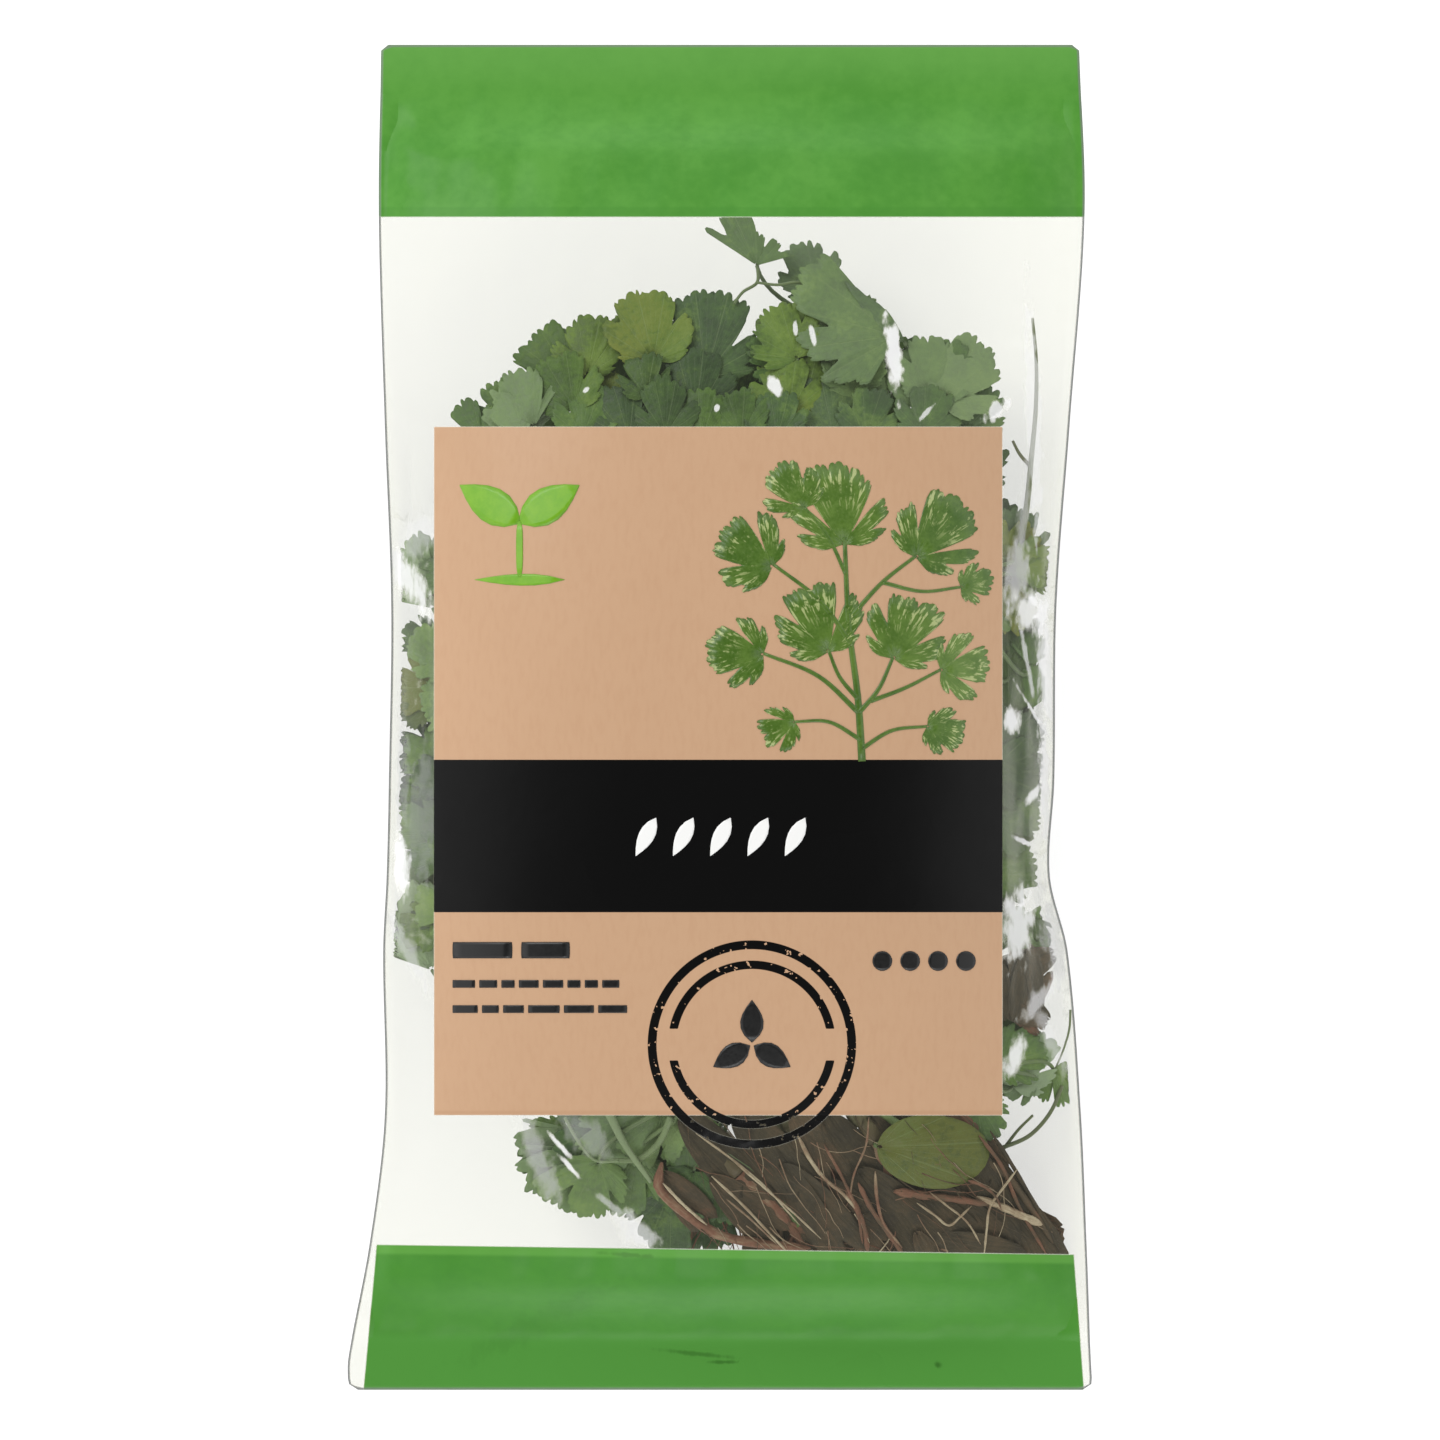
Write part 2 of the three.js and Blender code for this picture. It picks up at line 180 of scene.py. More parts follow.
def addShell(piece, points, faces, look, place):
    volume = sum(
        np.einsum("ij,ij->i", points[f[:, 0]], np.cross(points[f[:, a]], points[f[:, b]])).sum()
        for f in faces if f.shape[1] == 4
        for a, b in ((1, 2), (2, 3))
    )
    if volume < 0:
        faces = [f[:, ::-1] for f in faces]
    piece["points"].append(points)
    piece["faces"] += [f + piece["count"] for f in faces]
    piece["look"].append(np.broadcast_to(look, points.shape))
    piece["place"].append(np.broadcast_to(place, points.shape))
    piece["count"] += len(points)


def gridFaces(rows, columns):
    i, j = np.meshgrid(np.arange(rows - 1), np.arange(columns - 1), indexing="ij")
    a = (i * columns + j).ravel()
    return np.stack([a, a + 1, a + columns + 1, a + columns], 1)


# A thin sheet: two grids of points, one over the other, closed round their border.
def addSheet(piece, top, bottom, look, place):
    rows, columns = top.shape[:2]
    count = rows * columns
    faces = gridFaces(rows, columns)
    index = np.arange(count).reshape(rows, columns)
    border = np.concatenate([
        index[0, :-1], index[:-1, -1], index[-1, :0:-1], index[:0:-1, 0],
    ])
    following = np.roll(border, -1)
    wall = np.stack([following, border, border + count, following + count], 1)
    points = np.concatenate([top.reshape(-1, 3), bottom.reshape(-1, 3)])
    twice = [
        value if np.ndim(value) == 1 else np.concatenate([value.reshape(-1, 3)] * 2)
        for value in (np.asarray(look, float), np.asarray(place, float))
    ]
    addShell(piece, points, [faces, faces[:, ::-1] + count, wall], *twice)


def addTube(piece, path, radii, sides, look, kind):
    path = np.asarray(path, float)
    radii = np.broadcast_to(radii, len(path))
    along = np.gradient(path, axis=0)
    along /= np.linalg.norm(along, axis=1, keepdims=True)
    level = np.stack([along[:, 1], -along[:, 0], 0 * along[:, 0]], 1)
    level /= np.maximum(np.linalg.norm(level, axis=1, keepdims=True), 1e-6)
    up = np.cross(level, along)
    turn = 2 * math.pi * np.arange(sides) / sides
    around = level[:, None] * np.cos(turn)[:, None] + up[:, None] * np.sin(turn)[:, None]
    points = path[:, None] + around * radii[:, None, None]
    i, j = np.meshgrid(np.arange(len(path) - 1), np.arange(sides), indexing="ij")
    a = (i * sides + j).ravel()
    b = (i * sides + (j + 1) % sides).ravel()
    sideFaces = np.stack([a, b, b + sides, a + sides], 1)
    first = np.arange(sides)[None, ::-1]
    last = (np.arange(sides) + (len(path) - 1) * sides)[None]
    steps = np.linalg.norm(np.diff(path, axis=0), axis=1)
    gone = np.concatenate([[0], np.cumsum(steps)])
    place = np.zeros((len(path), sides, 3))
    place[..., 0] = gone[:, None]
    place[..., 1] = turn
    place[..., 2] = np.broadcast_to(kind, len(path))[:, None]
    looks = np.asarray(look, float)
    if looks.ndim == 2:
        looks = np.repeat(looks, sides, axis=0)
    addShell(piece, points.reshape(-1, 3), [sideFaces, first, last], looks, place.reshape(-1, 3))


def meshObject(name, piece, material, rounded=True):
    points = np.concatenate(piece["points"]) * mm
    sizes = np.concatenate([np.full(len(f), f.shape[1]) for f in piece["faces"]])
    corners = np.concatenate([f.ravel() for f in piece["faces"]])
    mesh = bpy.data.meshes.new(name)
    mesh.vertices.add(len(points))
    mesh.vertices.foreach_set("co", points.ravel())
    mesh.loops.add(len(corners))
    mesh.loops.foreach_set("vertex_index", corners)
    mesh.polygons.add(len(sizes))
    mesh.polygons.foreach_set("loop_start", np.cumsum(sizes) - sizes)
    mesh.update(calc_edges=True)
    mesh.validate()
    if rounded:
        mesh.shade_smooth()
    for key in ("look", "place"):
        values = np.concatenate(piece[key]).astype(np.float32)
        mesh.attributes.new(key, "FLOAT_VECTOR", "POINT").data.foreach_set("vector", values.ravel())
    mesh.materials.append(material)
    made = bpy.data.objects.new(name, mesh)
    scene.collection.objects.link(made)
    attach(made, "root")
    return made


# The solids' own seeded draws, taken here in the same order.
def drawsFrom(seed):
    state = seed
    whole = 0xFFFFFFFF

    def draw():
        nonlocal state
        state = (state + 0x6D2B79F5) & whole
        t = ((state ^ (state >> 15)) * (1 | state)) & whole
        t = ((t + (((t ^ (t >> 7)) * (61 | t)) & whole)) & whole) ^ t
        return ((t ^ (t >> 14)) & whole) / 4294967296

    return draw


# An even mix of waves, between about -1 and 1.
def ripples(x, y, seed, size, count=8):
    draws = np.random.default_rng(seed)
    total = 0
    for _ in range(count):
        angle, phase, scale = draws.uniform(0, math.pi), draws.uniform(0, 6.28), draws.uniform(0.7, 1.5)
        along = x * math.cos(angle) + y * math.sin(angle)
        total = total + np.sin(2 * math.pi * along / (size * scale) + phase)
    return total / math.sqrt(count) / 1.4


def srgb(red, green, blue):
    linear = [c / 255 / 12.92 if c <= 10 else ((c / 255 + 0.055) / 1.055) ** 2.4
              for c in (red, green, blue)]
    return (*linear, 1.0)


def fill(tree, socket, value):
    if isinstance(value, bpy.types.NodeSocket):
        tree.links.new(value, socket)
    else:
        socket.default_value = value


def addNode(tree, kind, values=None, **settings):
    made = tree.nodes.new("ShaderNode" + kind)
    for key, value in settings.items():
        setattr(made, key, value)
    for key, value in (values or {}).items():
        fill(tree, made.inputs[key], value)
    return made


def calc(tree, operation, *values):
    return addNode(tree, "Math", dict(enumerate(values)), operation=operation).outputs[0]


def chain(tree, operation, first, *others):
    for other in others:
        first = calc(tree, operation, first, other)
    return first


def plus(tree, *values):
    return chain(tree, "ADD", *values)


def minus(tree, a, b):
    return calc(tree, "SUBTRACT", a, b)


def times(tree, *values):
    return chain(tree, "MULTIPLY", *values)


def larger(tree, *values):
    return chain(tree, "MAXIMUM", *values)


def ramp(tree, value, low, high, toLow=0.0, toHigh=1.0):
    made = addNode(tree, "MapRange", {0: value, 1: low, 2: high, 3: toLow, 4: toHigh},
                   interpolation_type="SMOOTHSTEP")
    return made.outputs[0]


def between(tree, value, low, high, soft):
    rise = ramp(tree, value, low - soft, low + soft)
    fall = ramp(tree, value, high - soft, high + soft, 1.0, 0.0)
    return times(tree, rise, fall)


def blend(tree, share, a, b, how="MIX"):
    made = addNode(tree, "Mix", {0: share, 6: a, 7: b}, data_type="RGBA", blend_type=how)
    return made.outputs[2]


def colourRamp(tree, value, stops):
    made = addNode(tree, "ValToRGB", {0: value})
    while len(made.color_ramp.elements) < len(stops):
        made.color_ramp.elements.new(0.5)
    for element, (position, colour) in zip(made.color_ramp.elements, stops):
        element.position = position
        element.color = colour
    return made.outputs[0]


def split(tree, vector):
    return addNode(tree, "SeparateXYZ", {0: vector}).outputs


def attribute(tree, name):
    return split(tree, addNode(tree, "Attribute", attribute_name=name).outputs["Vector"])


def noise(tree, place, scale, detail=2.0, stretch=(1, 1, 1)):
    mapped = addNode(tree, "Mapping", {"Vector": place, "Scale": stretch}).outputs[0]
    return addNode(tree, "TexNoise", {"Vector": mapped, "Scale": scale, "Detail": detail}).outputs[0]


def objectPlace(tree):
    return addNode(tree, "TexCoord").outputs["Object"]


def addBump(tree, shader, height, strength, depth):
    bump = addNode(tree, "Bump", {"Strength": strength, "Distance": depth, "Height": height})
    fill(tree, shader.inputs["Normal"], bump.outputs[0])


def newMaterial(name):
    material = bpy.data.materials.new(name)
    material.use_nodes = True
    tree = material.node_tree
    return material, tree, tree.nodes["Principled BSDF"]


def newGroup(name, inputs, outputs):
    tree = bpy.data.node_groups.new(name, "ShaderNodeTree")
    for key, kind, value in inputs:
        socket = tree.interface.new_socket(key, in_out="INPUT", socket_type="NodeSocket" + kind)
        if value is not None:
            socket.default_value = value
    for key, kind in outputs:
        tree.interface.new_socket(key, in_out="OUTPUT", socket_type="NodeSocket" + kind)
    return tree, tree.nodes.new("NodeGroupInput").outputs, tree.nodes.new("NodeGroupOutput").inputs


def placeGroup(tree, group, values):
    made = tree.nodes.new("ShaderNodeGroup")
    made.node_tree = group
    for key, value in values.items():
        fill(tree, made.inputs[key], value)
    return made.outputs


# Uneven tone at two sizes, for leaf, root and printed ink.
def mottleGroup():
    tree, given, out = newGroup(
        "mottle",
        [("Place", "Vector", None), ("Scale", "Float", 120.0), ("Fineness", "Float", 7.0)],
        [("Tone", "Float"), ("Height", "Float")],
    )
    broad = addNode(tree, "TexNoise", {"Vector": given[0], "Scale": given[1], "Detail": 2.0})
    fineScale = times(tree, given[1], given[2])
    fine = addNode(tree, "TexNoise", {"Vector": given[0], "Scale": fineScale, "Detail": 3.0})
    both = plus(tree, times(tree, broad.outputs[0], 0.65), times(tree, fine.outputs[0], 0.35))
    fill(tree, out[0], ramp(tree, both, 0.3, 0.7))
    fill(tree, out[1], fine.outputs[0])
    return tree


# Fine lines that fan out from a blade's foot, for real leaves and for printed ones.
def veinGroup():
    tree, given, out = newGroup(
        "veins",
        [("Along", "Float", 0.5), ("Angle", "Float", 0.0), ("Count", "Float", 7.0),
         ("Width", "Float", 0.16), ("Wander", "Float", 0.5)],
        [("Line", "Float")],
    )
    turn = calc(tree, "MULTIPLY_ADD", given[1], given[2], given[4])
    off = calc(tree, "ABSOLUTE", minus(tree, calc(tree, "FRACT", turn), 0.5))
    narrow = times(tree, given[3], minus(tree, 1.25, given[0]))
    line = minus(tree, 1.0, calc(tree, "DIVIDE", off, narrow))
    fill(tree, out[0], ramp(tree, line, 0.0, 0.8))
    return tree


# Creases of thin film, sharp along their tops.
def crumpleGroup():
    tree, given, out = newGroup(
        "crumple",
        [("Place", "Vector", None), ("Scale", "Float", 60.0)],
        [("Height", "Float"), ("Crease", "Float")],
    )
    bent = addNode(tree, "TexNoise", {"Vector": given[0], "Scale": given[1], "Detail": 3.0})
    ridge = calc(tree, "ABSOLUTE", minus(tree, bent.outputs[0], 0.5))
    fill(tree, out[0], minus(tree, 1.0, times(tree, ridge, 4.0)))
    fill(tree, out[1], ramp(tree, ridge, 0.0, 0.03, 1.0, 0.0))
    return tree


# A ragged oval patch: 1 inside it and 0 outside. Turn is the way of its length, in radians about Z,
# and Size is half its length and half its width.
def patchGroup():
    tree, given, out = newGroup(
        "patch",
        [("Place", "Vector", None), ("Middle", "Vector", None), ("Turn", "Vector", None),
         ("Size", "Vector", (5.0, 1.0, 1.0)), ("Ragged", "Float", 0.0), ("Soft", "Float", 0.2)],
        [("Mask", "Float")],
    )
    laid = addNode(tree, "Mapping", {"Vector": given[0], "Location": given[1], "Rotation": given[2],
                                     "Scale": given[3]}, vector_type="TEXTURE").outputs[0]
    reach = addNode(tree, "VectorMath", {0: laid}, operation="LENGTH").outputs["Value"]
    near, far = minus(tree, 1.0, given[5]), plus(tree, 1.0, given[5])
    fill(tree, out[0], ramp(tree, plus(tree, reach, given[4]), near, far, 1.0, 0.0))
    return tree


mottle = mottleGroup()
veins = veinGroup()
crumple = crumpleGroup()
patch = patchGroup()


def mottled(tree, place, scale, fineness):
    return placeGroup(tree, mottle, {"Place": place, "Scale": scale, "Fineness": fineness})


film = dict(
    rows=232,
    columns=128,
    thickness=0.12,
    corners=(2.2, 1.6),  # how far the foot's and the head's corners are rounded off
    tint=srgb(246, 246, 232),
    backTint=srgb(179, 181, 138),
    haze=dict(front=0.008, back=0.16),  # cover of each face of the clear film
    stripHazeAndSheen=(0.012, 0.045),  # more of it down both sides, even and in streaks
    creaseGlintCover=0.10,
    edgeColour=srgb(132, 134, 132),
    edgeWidth=0.7,
    roughness=0.16,
    printRoughness=0.32,
    index=1.3,
    specular=(0.5, 0.3),  # clear, and printed
    bump=(0.35, 0.14),  # clear, and printed, which creases less
    bumpDepth=0.0006,
    strips=(58.0, 68.0),  # the side strips begin between these, off the middle
    stripEnds=(-60.0, 60.0),
    foldEnds=(-45.0, 52.0),
    foldGlint=0.035,  # the folds down the right strip
    slopeHaze=0.21,
    ragged=2.2,
    patchSoft=(0.3, 0.5),  # in the head window, and lower down
    highlightGrey=(0.36, 0.98),
    rimHaze=0.55,
)
# Waves in the film: how high, how far in from the edge they fade, and how long.
wrinkle = dict(
    ends=((0.4, 13.5), (0.2, 7.3)), endFade=20,
    sides=(0.38, 8.6), sideFade=6,
    folds=(0.3, 4.6), foldedFrom=(62, 67), foldedEnds=((-75, -50), (45, 70)),
    broad=(0.45, 24), pressedShare=0.85,
)
# Painted highlights, where creased film catches the light: the middle, half length, half width,
# the way of the length in degrees, cover, and grey at 0 to white at 1.
paintedCreaseHighlights = [
    # between the leaves in the head window
    (38.6, 79.9, 7.6, 1.6, 96, 0.85, 0.96), (-30.1, 72.7, 0.8, 0.5, 40, 0.7, 0.95),
    (-0.8, 68.8, 0.7, 0.5, 80, 0.7, 0.95), (12.1, 73.9, 2.0, 1.1, 118, 0.8, 0.96),
    (61.6, 68.4, 3.0, 1.5, 40, 0.72, 0.95), (20.6, 84.6, 2.2, 0.6, 105, 0.75, 0.96),
    (16.6, 86.6, 1.6, 0.5, 95, 0.7, 0.95), (46.0, 68.0, 2.2, 0.5, 48, 0.6, 0.95),
    # the left strip
    (-70.2, 31.5, 8.5, 2.6, 122, 0.76, 0.85), (-70.6, -13.0, 12.0, 1.6, 92, 0.3, 0.3),
    (-70.2, -51.0, 10.5, 1.5, 118, 0.4, 0.6), (-66.6, -22.0, 14.0, 3.6, 88, 0.22, 0.5),
    (-71.0, -32.5, 6.0, 1.8, 96, 0.75, 0.95), (-67.0, 40.0, 5.5, 3.0, 60, 0.35, 0.7),
    # the right strip
    (69.6, 66.0, 25.0, 1.7, 92, 0.42, 0.95), (66.0, 31.8, 6.6, 2.4, 84, 0.62, 0.45),
    (69.8, 0.8, 6.2, 0.4, -58, 0.7, 0.9), (69.0, 23.4, 3.9, 4.2, 70, 0.74, 0.98),
    (72.4, 10.0, 14.0, 1.6, 94, 0.66, 0.85),
    (67.6, 47.0, 9.0, 1.2, 84, 0.4, 0.5), (67.9, 14.0, 8.0, 0.5, 100, 0.5, 0.9),
    (64.9, -0.9, 2.6, 1.5, 100, 0.8, 0.98), (72.2, -17.0, 16.5, 1.3, 92, 0.6, 0.7),
    (69.4, -17.3, 2.8, 0.9, 52, 0.74, 0.98), (67.4, -27.6, 2.0, 0.55, -25, 0.66, 0.98),
    (66.2, -45.9, 7.4, 3.0, 84, 0.74, 0.9), (74.3, -49.5, 13.0, 2.1, 100, 0.5, 0.35),
    (65.4, -75.6, 4.2, 1.7, 70, 0.75, 0.98), (71.6, -62.4, 5.6, 1.5, 48, 0.5, 0.75),
    (73.0, -70.5, 8.0, 1.4, 112, 0.35, 0.8),
    # the leaves in the foot window
    (-35.6, -95.3, 3.0, 0.5, -48, 0.8, 0.95), (-33.4, -100.2, 2.6, 0.5, -48, 0.8, 0.95),
    (-40.6, -98.0, 10.5, 2.2, -68, 0.42, 0.5), (-19.0, -114.5, 5.0, 2.6, -40, 0.5, 0.7),
    (-30.0, -93.0, 6.0, 3.0, -40, 0.25, 0.5), (-24.5, -108.5, 4.5, 0.7, -35, 0.35, 0.8),
]
# Painted shade along folds in the foot's print, and a few darker marks, laid out alike.
foldShades = [
    (-5.0, -141.6, 7.0, 0.5, -6, 0.5), (0.8, -143.4, 3.5, 0.4, 0, 0.6),
    (48.4, -144.0, 0.8, 0.7, 0, 0.7), (-40.0, -134.5, 17.0, 2.4, 26, 0.14),
    (-20.0, -119.6, 5.0, 0.5, -4, 0.4),
]
printing = dict(
    inkEdge=0.2,  # half the width over which an edge of the print fades
    headEdge=111.3,
    footEdge=(-118.4, -0.0142),  # at x = 0, and how it slopes
    footSides=((-79.3, 0.09), (80.8, -0.075)),  # at y = -149, and how they slope
    headGreen=srgb(74, 140, 50),
    headGreenLight=srgb(90, 154, 62),
    weldGreenPaintedLight=srgb(106, 166, 80),
    footGreen=srgb(68, 133, 48),
    footWeldGreenPaintedLight=srgb(80, 145, 60),
    foldShadeGreen=srgb(44, 92, 30),
    kraft=srgb(198, 161, 129),
    kraftDark=srgb(188, 148, 116),
    black=srgb(11, 11, 11),
    panel=(-63.7, 62.7, -88.5, 64.6),
    blackBand=(-43.3, -9.5),
    stampCentre=(7.0, -72.8),
    stampOuter=(21.3, 23.1),
    stampInner=(16.9, 18.6),
)


# 1 over the middle, where the bunch presses the film flat, and 0 towards the edges.
def pressed(x, y):
    wide = 1 - smooth(np.abs(x), 52, 68)
    long = (1 - smooth(y, 62, 84)) * (1 - smooth(-y, 86, 104))
    return wide * long


def wrinkles(x, y):
    left, right = outlineAt(y, 1), outlineAt(y, 2)
    side = np.maximum(np.minimum(x - left, right - x) - bag["weldWidth"], 0)
    end = np.maximum(bag["length"] / 2 - bag["sealLength"] - np.abs(y), 0)
    free = smooth(end, 0, 7) * smooth(side, 0, 4)

    def waves(along, height, length, phase=0.0):
        return height * np.sin(2 * math.pi * along / length + phase)

    first, second = wrinkle["ends"]
    ends = waves(x + 2.2 * np.sin(y / 9), *first) + waves(x - y * 0.2, *second, 1.3)
    ends = ends * np.exp(-end / wrinkle["endFade"])
    sides = waves(y + 3 * np.sin(y / 17) + 0.35 * x, *wrinkle["sides"])
    sides = sides * np.exp(-side / wrinkle["sideFade"])
    foot, head = wrinkle["foldedEnds"]
    folded = smooth(x, *wrinkle["foldedFrom"]) * smooth(y, *foot) * (1 - smooth(y, *head))
    folds = folded * waves(x + 0.06 * y + 1.2 * np.sin(y / 14), *wrinkle["folds"])
    height, length = wrinkle["broad"]
    loose = 1 - wrinkle["pressedShare"] * pressed(x, y)
    return free * (ends + sides + folds + height * loose * ripples(x, y, 3, length))


# The middle of a film wall's thickness.
def filmHeight(x, y, wall):
    back, front = walls(x, y)
    side = np.minimum(x - outlineAt(y, 1), outlineAt(y, 2) - x) - bag["weldWidth"]
    end = bag["length"] / 2 - bag["sealLength"] - np.abs(y)
    lift = mix(-0.08, bag["wall"] / 2, smooth(np.minimum(side, end), 0, 5))
    if wall == "front":
        ease = 0.88 * (1 - smooth(end, 0, 15))  # the film bends gently out of the end welds
        return mix(front, bag["sealHeight"] + bag["weldGap"] / 2, ease) + lift + wrinkles(x, y)
    return np.maximum(back - lift + 0.6 * wrinkles(x + 9, y + 31), film["thickness"] / 2 + 0.01)


def filmSheet(name, wall, material):
    y = np.linspace(-bag["length"] / 2, bag["length"] / 2, film["rows"])[:, None]
    share = np.linspace(0, 1, film["columns"])[None]
    share = mix(share, 0.5 - 0.5 * np.cos(math.pi * share), 0.35)  # closer towards the edges
    trim = 0
    for corner, end in zip(film["corners"], (-1, 1)):
        near = np.clip(1 - (bag["length"] / 2 - end * y) / corner, 0, 1)
        trim = trim + corner * (1 - np.sqrt(1 - near**2))
    left, right = outlineAt(y, 1) + trim, outlineAt(y, 2) - trim
    x = mix(left, right, share)
    y = y + 0 * x
    z = filmHeight(x, y, wall)
    half = film["thickness"] / 2
    top, bottom = np.stack([x, y, z + half], -1), np.stack([x, y, z - half], -1)
    seenX, seenY = seenAt(x, y, z)
    edge = np.minimum(np.minimum(x - left, right - x), bag["length"] / 2 - np.abs(y))
    piece = newPiece()
    addSheet(piece, top, bottom, np.stack([seenX, seenY, edge], -1), (0, 0, 0))
    made = meshObject(name, piece, material)
    made.visible_shadow = False  # thin film lets the light through to the leaves
    made.visible_diffuse = False
    made.visible_glossy = False
    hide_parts("film_" + wall)


# Ink covers the film. Clear film shows as a little haze, more of it at the sides, where it is partly
# painted reflection; painted highlights lie in its creases and folds.
def filmMaterial(name, withPanel):
    material, tree, shader = newMaterial(name)
    seenX, seenY, edge = attribute(tree, "look")
    place = objectPlace(tree)
    uneven = mottled(tree, place, 45.0, 9.0)
    creases = placeGroup(tree, crumple, {"Place": place, "Scale": 55.0})

    # the clear film
    colour = film["tint" if withPanel else "backTint"]
    haze = film["haze"]["front" if withPanel else "back"]
    stripsFrom, stripsTo = film["strips"]
    inStrips = times(tree, ramp(tree, calc(tree, "ABSOLUTE", seenX), stripsFrom, stripsTo),
                     between(tree, seenY, *film["stripEnds"], 14.0))
    if withPanel:
        # more cover down both sides: partly the film's own haze, partly painted reflection of its sloping
        # sides
        streaks = ramp(tree, noise(tree, place, 90.0, 2.0, (1.6, 0.22, 1.0)), 0.44, 0.62)
        even, streaky = film["stripHazeAndSheen"]
        rightSide = times(tree, ramp(tree, seenX, stripsFrom, 64.0),
                          between(tree, seenY, *film["foldEnds"], 10.0))
        inStreaks = calc(tree, "MULTIPLY_ADD", streaks, streaky, even)
        # painted highlights: pale streaks along the folds down the right strip
        foldGlint = times(tree, streaks, film["foldGlint"], rightSide)
        haze = plus(tree, haze, times(tree, inStreaks, inStrips), foldGlint)
    # painted highlights: pale glints along the film's creases in the side strips
    creaseGlint = times(tree, creases["Crease"], ramp(tree, uneven["Tone"], 0.6, 0.85),
                   ramp(tree, seenY, 60.0, 40.0))
    facing = addNode(tree, "LayerWeight", {"Blend": 0.3}).outputs["Facing"]
    slope = times(tree, calc(tree, "POWER", facing, 2.5), film["slopeHaze"])
    haze = plus(tree, haze, times(tree, creaseGlint, inStrips, film["creaseGlintCover"]), slope)
    torn = noise(tree, place, 420.0, 3.0, (1.3, 0.6, 1.0))
    frayed = times(tree, minus(tree, torn, 0.5), film["ragged"])
    flat = addNode(tree, "CombineXYZ", {0: seenX, 1: seenY}).outputs[0]

    def patchAt(x, y, halfLength, halfWidth, turn, soft):
        return placeGroup(tree, patch, {
            "Place": flat, "Middle": (x, y, 0), "Turn": (0, 0, radians(turn)),
            "Size": (halfLength, halfWidth, 1), "Ragged": frayed, "Soft": soft,
        })["Mask"]

    # painted highlights: each patch turns the clear film white to grey and raises its cover
    for x, y, halfLength, halfWidth, turn, amount, white in paintedCreaseHighlights if withPanel else []:
        soft = film["patchSoft"][0 if y > 60 else 1]
        paintedHighlight = patchAt(x, y, halfLength, halfWidth, turn, soft)
        grey = mix(*film["highlightGrey"], white)
        colour = blend(tree, paintedHighlight, colour, (grey, grey, grey, 1.0))
        haze = larger(tree, haze, times(tree, paintedHighlight, 1 - math.sqrt(1 - amount)))
    rim = ramp(tree, edge, film["edgeWidth"] * 0.4, film["edgeWidth"], 1.0, 0.0)
    haze = larger(tree, haze, times(tree, rim, film["rimHaze"]))

    # the printed bands across both ends
    green = blend(tree, uneven["Tone"], printing["headGreen"], printing["headGreenLight"])
    # painted light: towards the top weld the green is painted lighter, evening out the light on the flat
    # weld
    inWeld = ramp(tree, seenY, 134.0, 150.0)
    green = blend(tree, times(tree, inWeld, 0.6), green, printing["weldGreenPaintedLight"])
    headEdge, inkEdge = printing["headEdge"], printing["inkEdge"]
    darker = between(tree, seenY, headEdge, headEdge + 2.2, 0.3)
    green = blend(tree, times(tree, darker, 0.35), green, printing["footGreen"])
    head = ramp(tree, seenY, headEdge - inkEdge, headEdge + inkEdge)
    colour = blend(tree, head, colour, green)
    level, slopeDown = printing["footEdge"]
    upTo = calc(tree, "MULTIPLY_ADD", seenX, slopeDown, level)
    under = minus(tree, upTo, seenY)
    foot = ramp(tree, under, -inkEdge, inkEdge)
    down = plus(tree, seenY, 149.0)
    (leftAt, leftSlope), (rightAt, rightSlope) = printing["footSides"]
    fromLeft = minus(tree, seenX, calc(tree, "MULTIPLY_ADD", down, leftSlope, leftAt))
    fromRight = minus(tree, calc(tree, "MULTIPLY_ADD", down, rightSlope, rightAt), seenX)
    for inward in (fromLeft, fromRight):
        foot = times(tree, foot, ramp(tree, inward, -inkEdge, inkEdge))
    footGreen = blend(tree, uneven["Tone"], printing["footGreen"], printing["headGreen"])
    footGreen = blend(tree, between(tree, under, 0.0, 2.0, 0.5), footGreen,
                      printing["headGreenLight"])
    # painted light: the flat foot weld is painted a lighter green, evening out the light beside the sloping
    # film
    footGreen = blend(tree, ramp(tree, seenY, -136.2, -138.6), footGreen, printing["footWeldGreenPaintedLight"])
    # painted shade: folds and creases darken the foot's green
    for x, y, halfLength, halfWidth, turn, amount in foldShades if withPanel else []:
        blotches = times(tree, patchAt(x, y, halfLength, halfWidth, turn, 0.6), amount)
        footGreen = blend(tree, blotches, footGreen, printing["foldShadeGreen"])
    colour = blend(tree, foot, colour, footGreen)
    cover = printed = larger(tree, head, foot)
    inInk = minus(tree, 1.0, times(tree, cover, 0.35))
    colour = blend(tree, times(tree, rim, inInk), colour, film["edgeColour"])

    if withPanel:
        left, right, low, high = printing["panel"]
        inPanel = between(tree, seenX, left, right, 0.15)
        panel = times(tree, inPanel, between(tree, seenY, low, high, 0.15))
        fibre = noise(tree, place, 900.0, 3.0, (1.0, 0.3, 1.0))
        kraft = blend(tree, times(tree, ramp(tree, fibre, 0.4, 0.75), 0.25),
                      printing["kraft"], printing["kraftDark"])
        kraft = blend(tree, times(tree, uneven["Tone"], 0.12), kraft, printing["kraftDark"])
        lowest = between(tree, seenY, low, low + 1.0, 0.3)
        kraft = blend(tree, times(tree, lowest, 0.6), kraft, printing["kraftDark"])
        colour = blend(tree, panel, colour, kraft)
        dark = times(tree, inPanel, between(tree, seenY, *printing["blackBand"], 0.15))
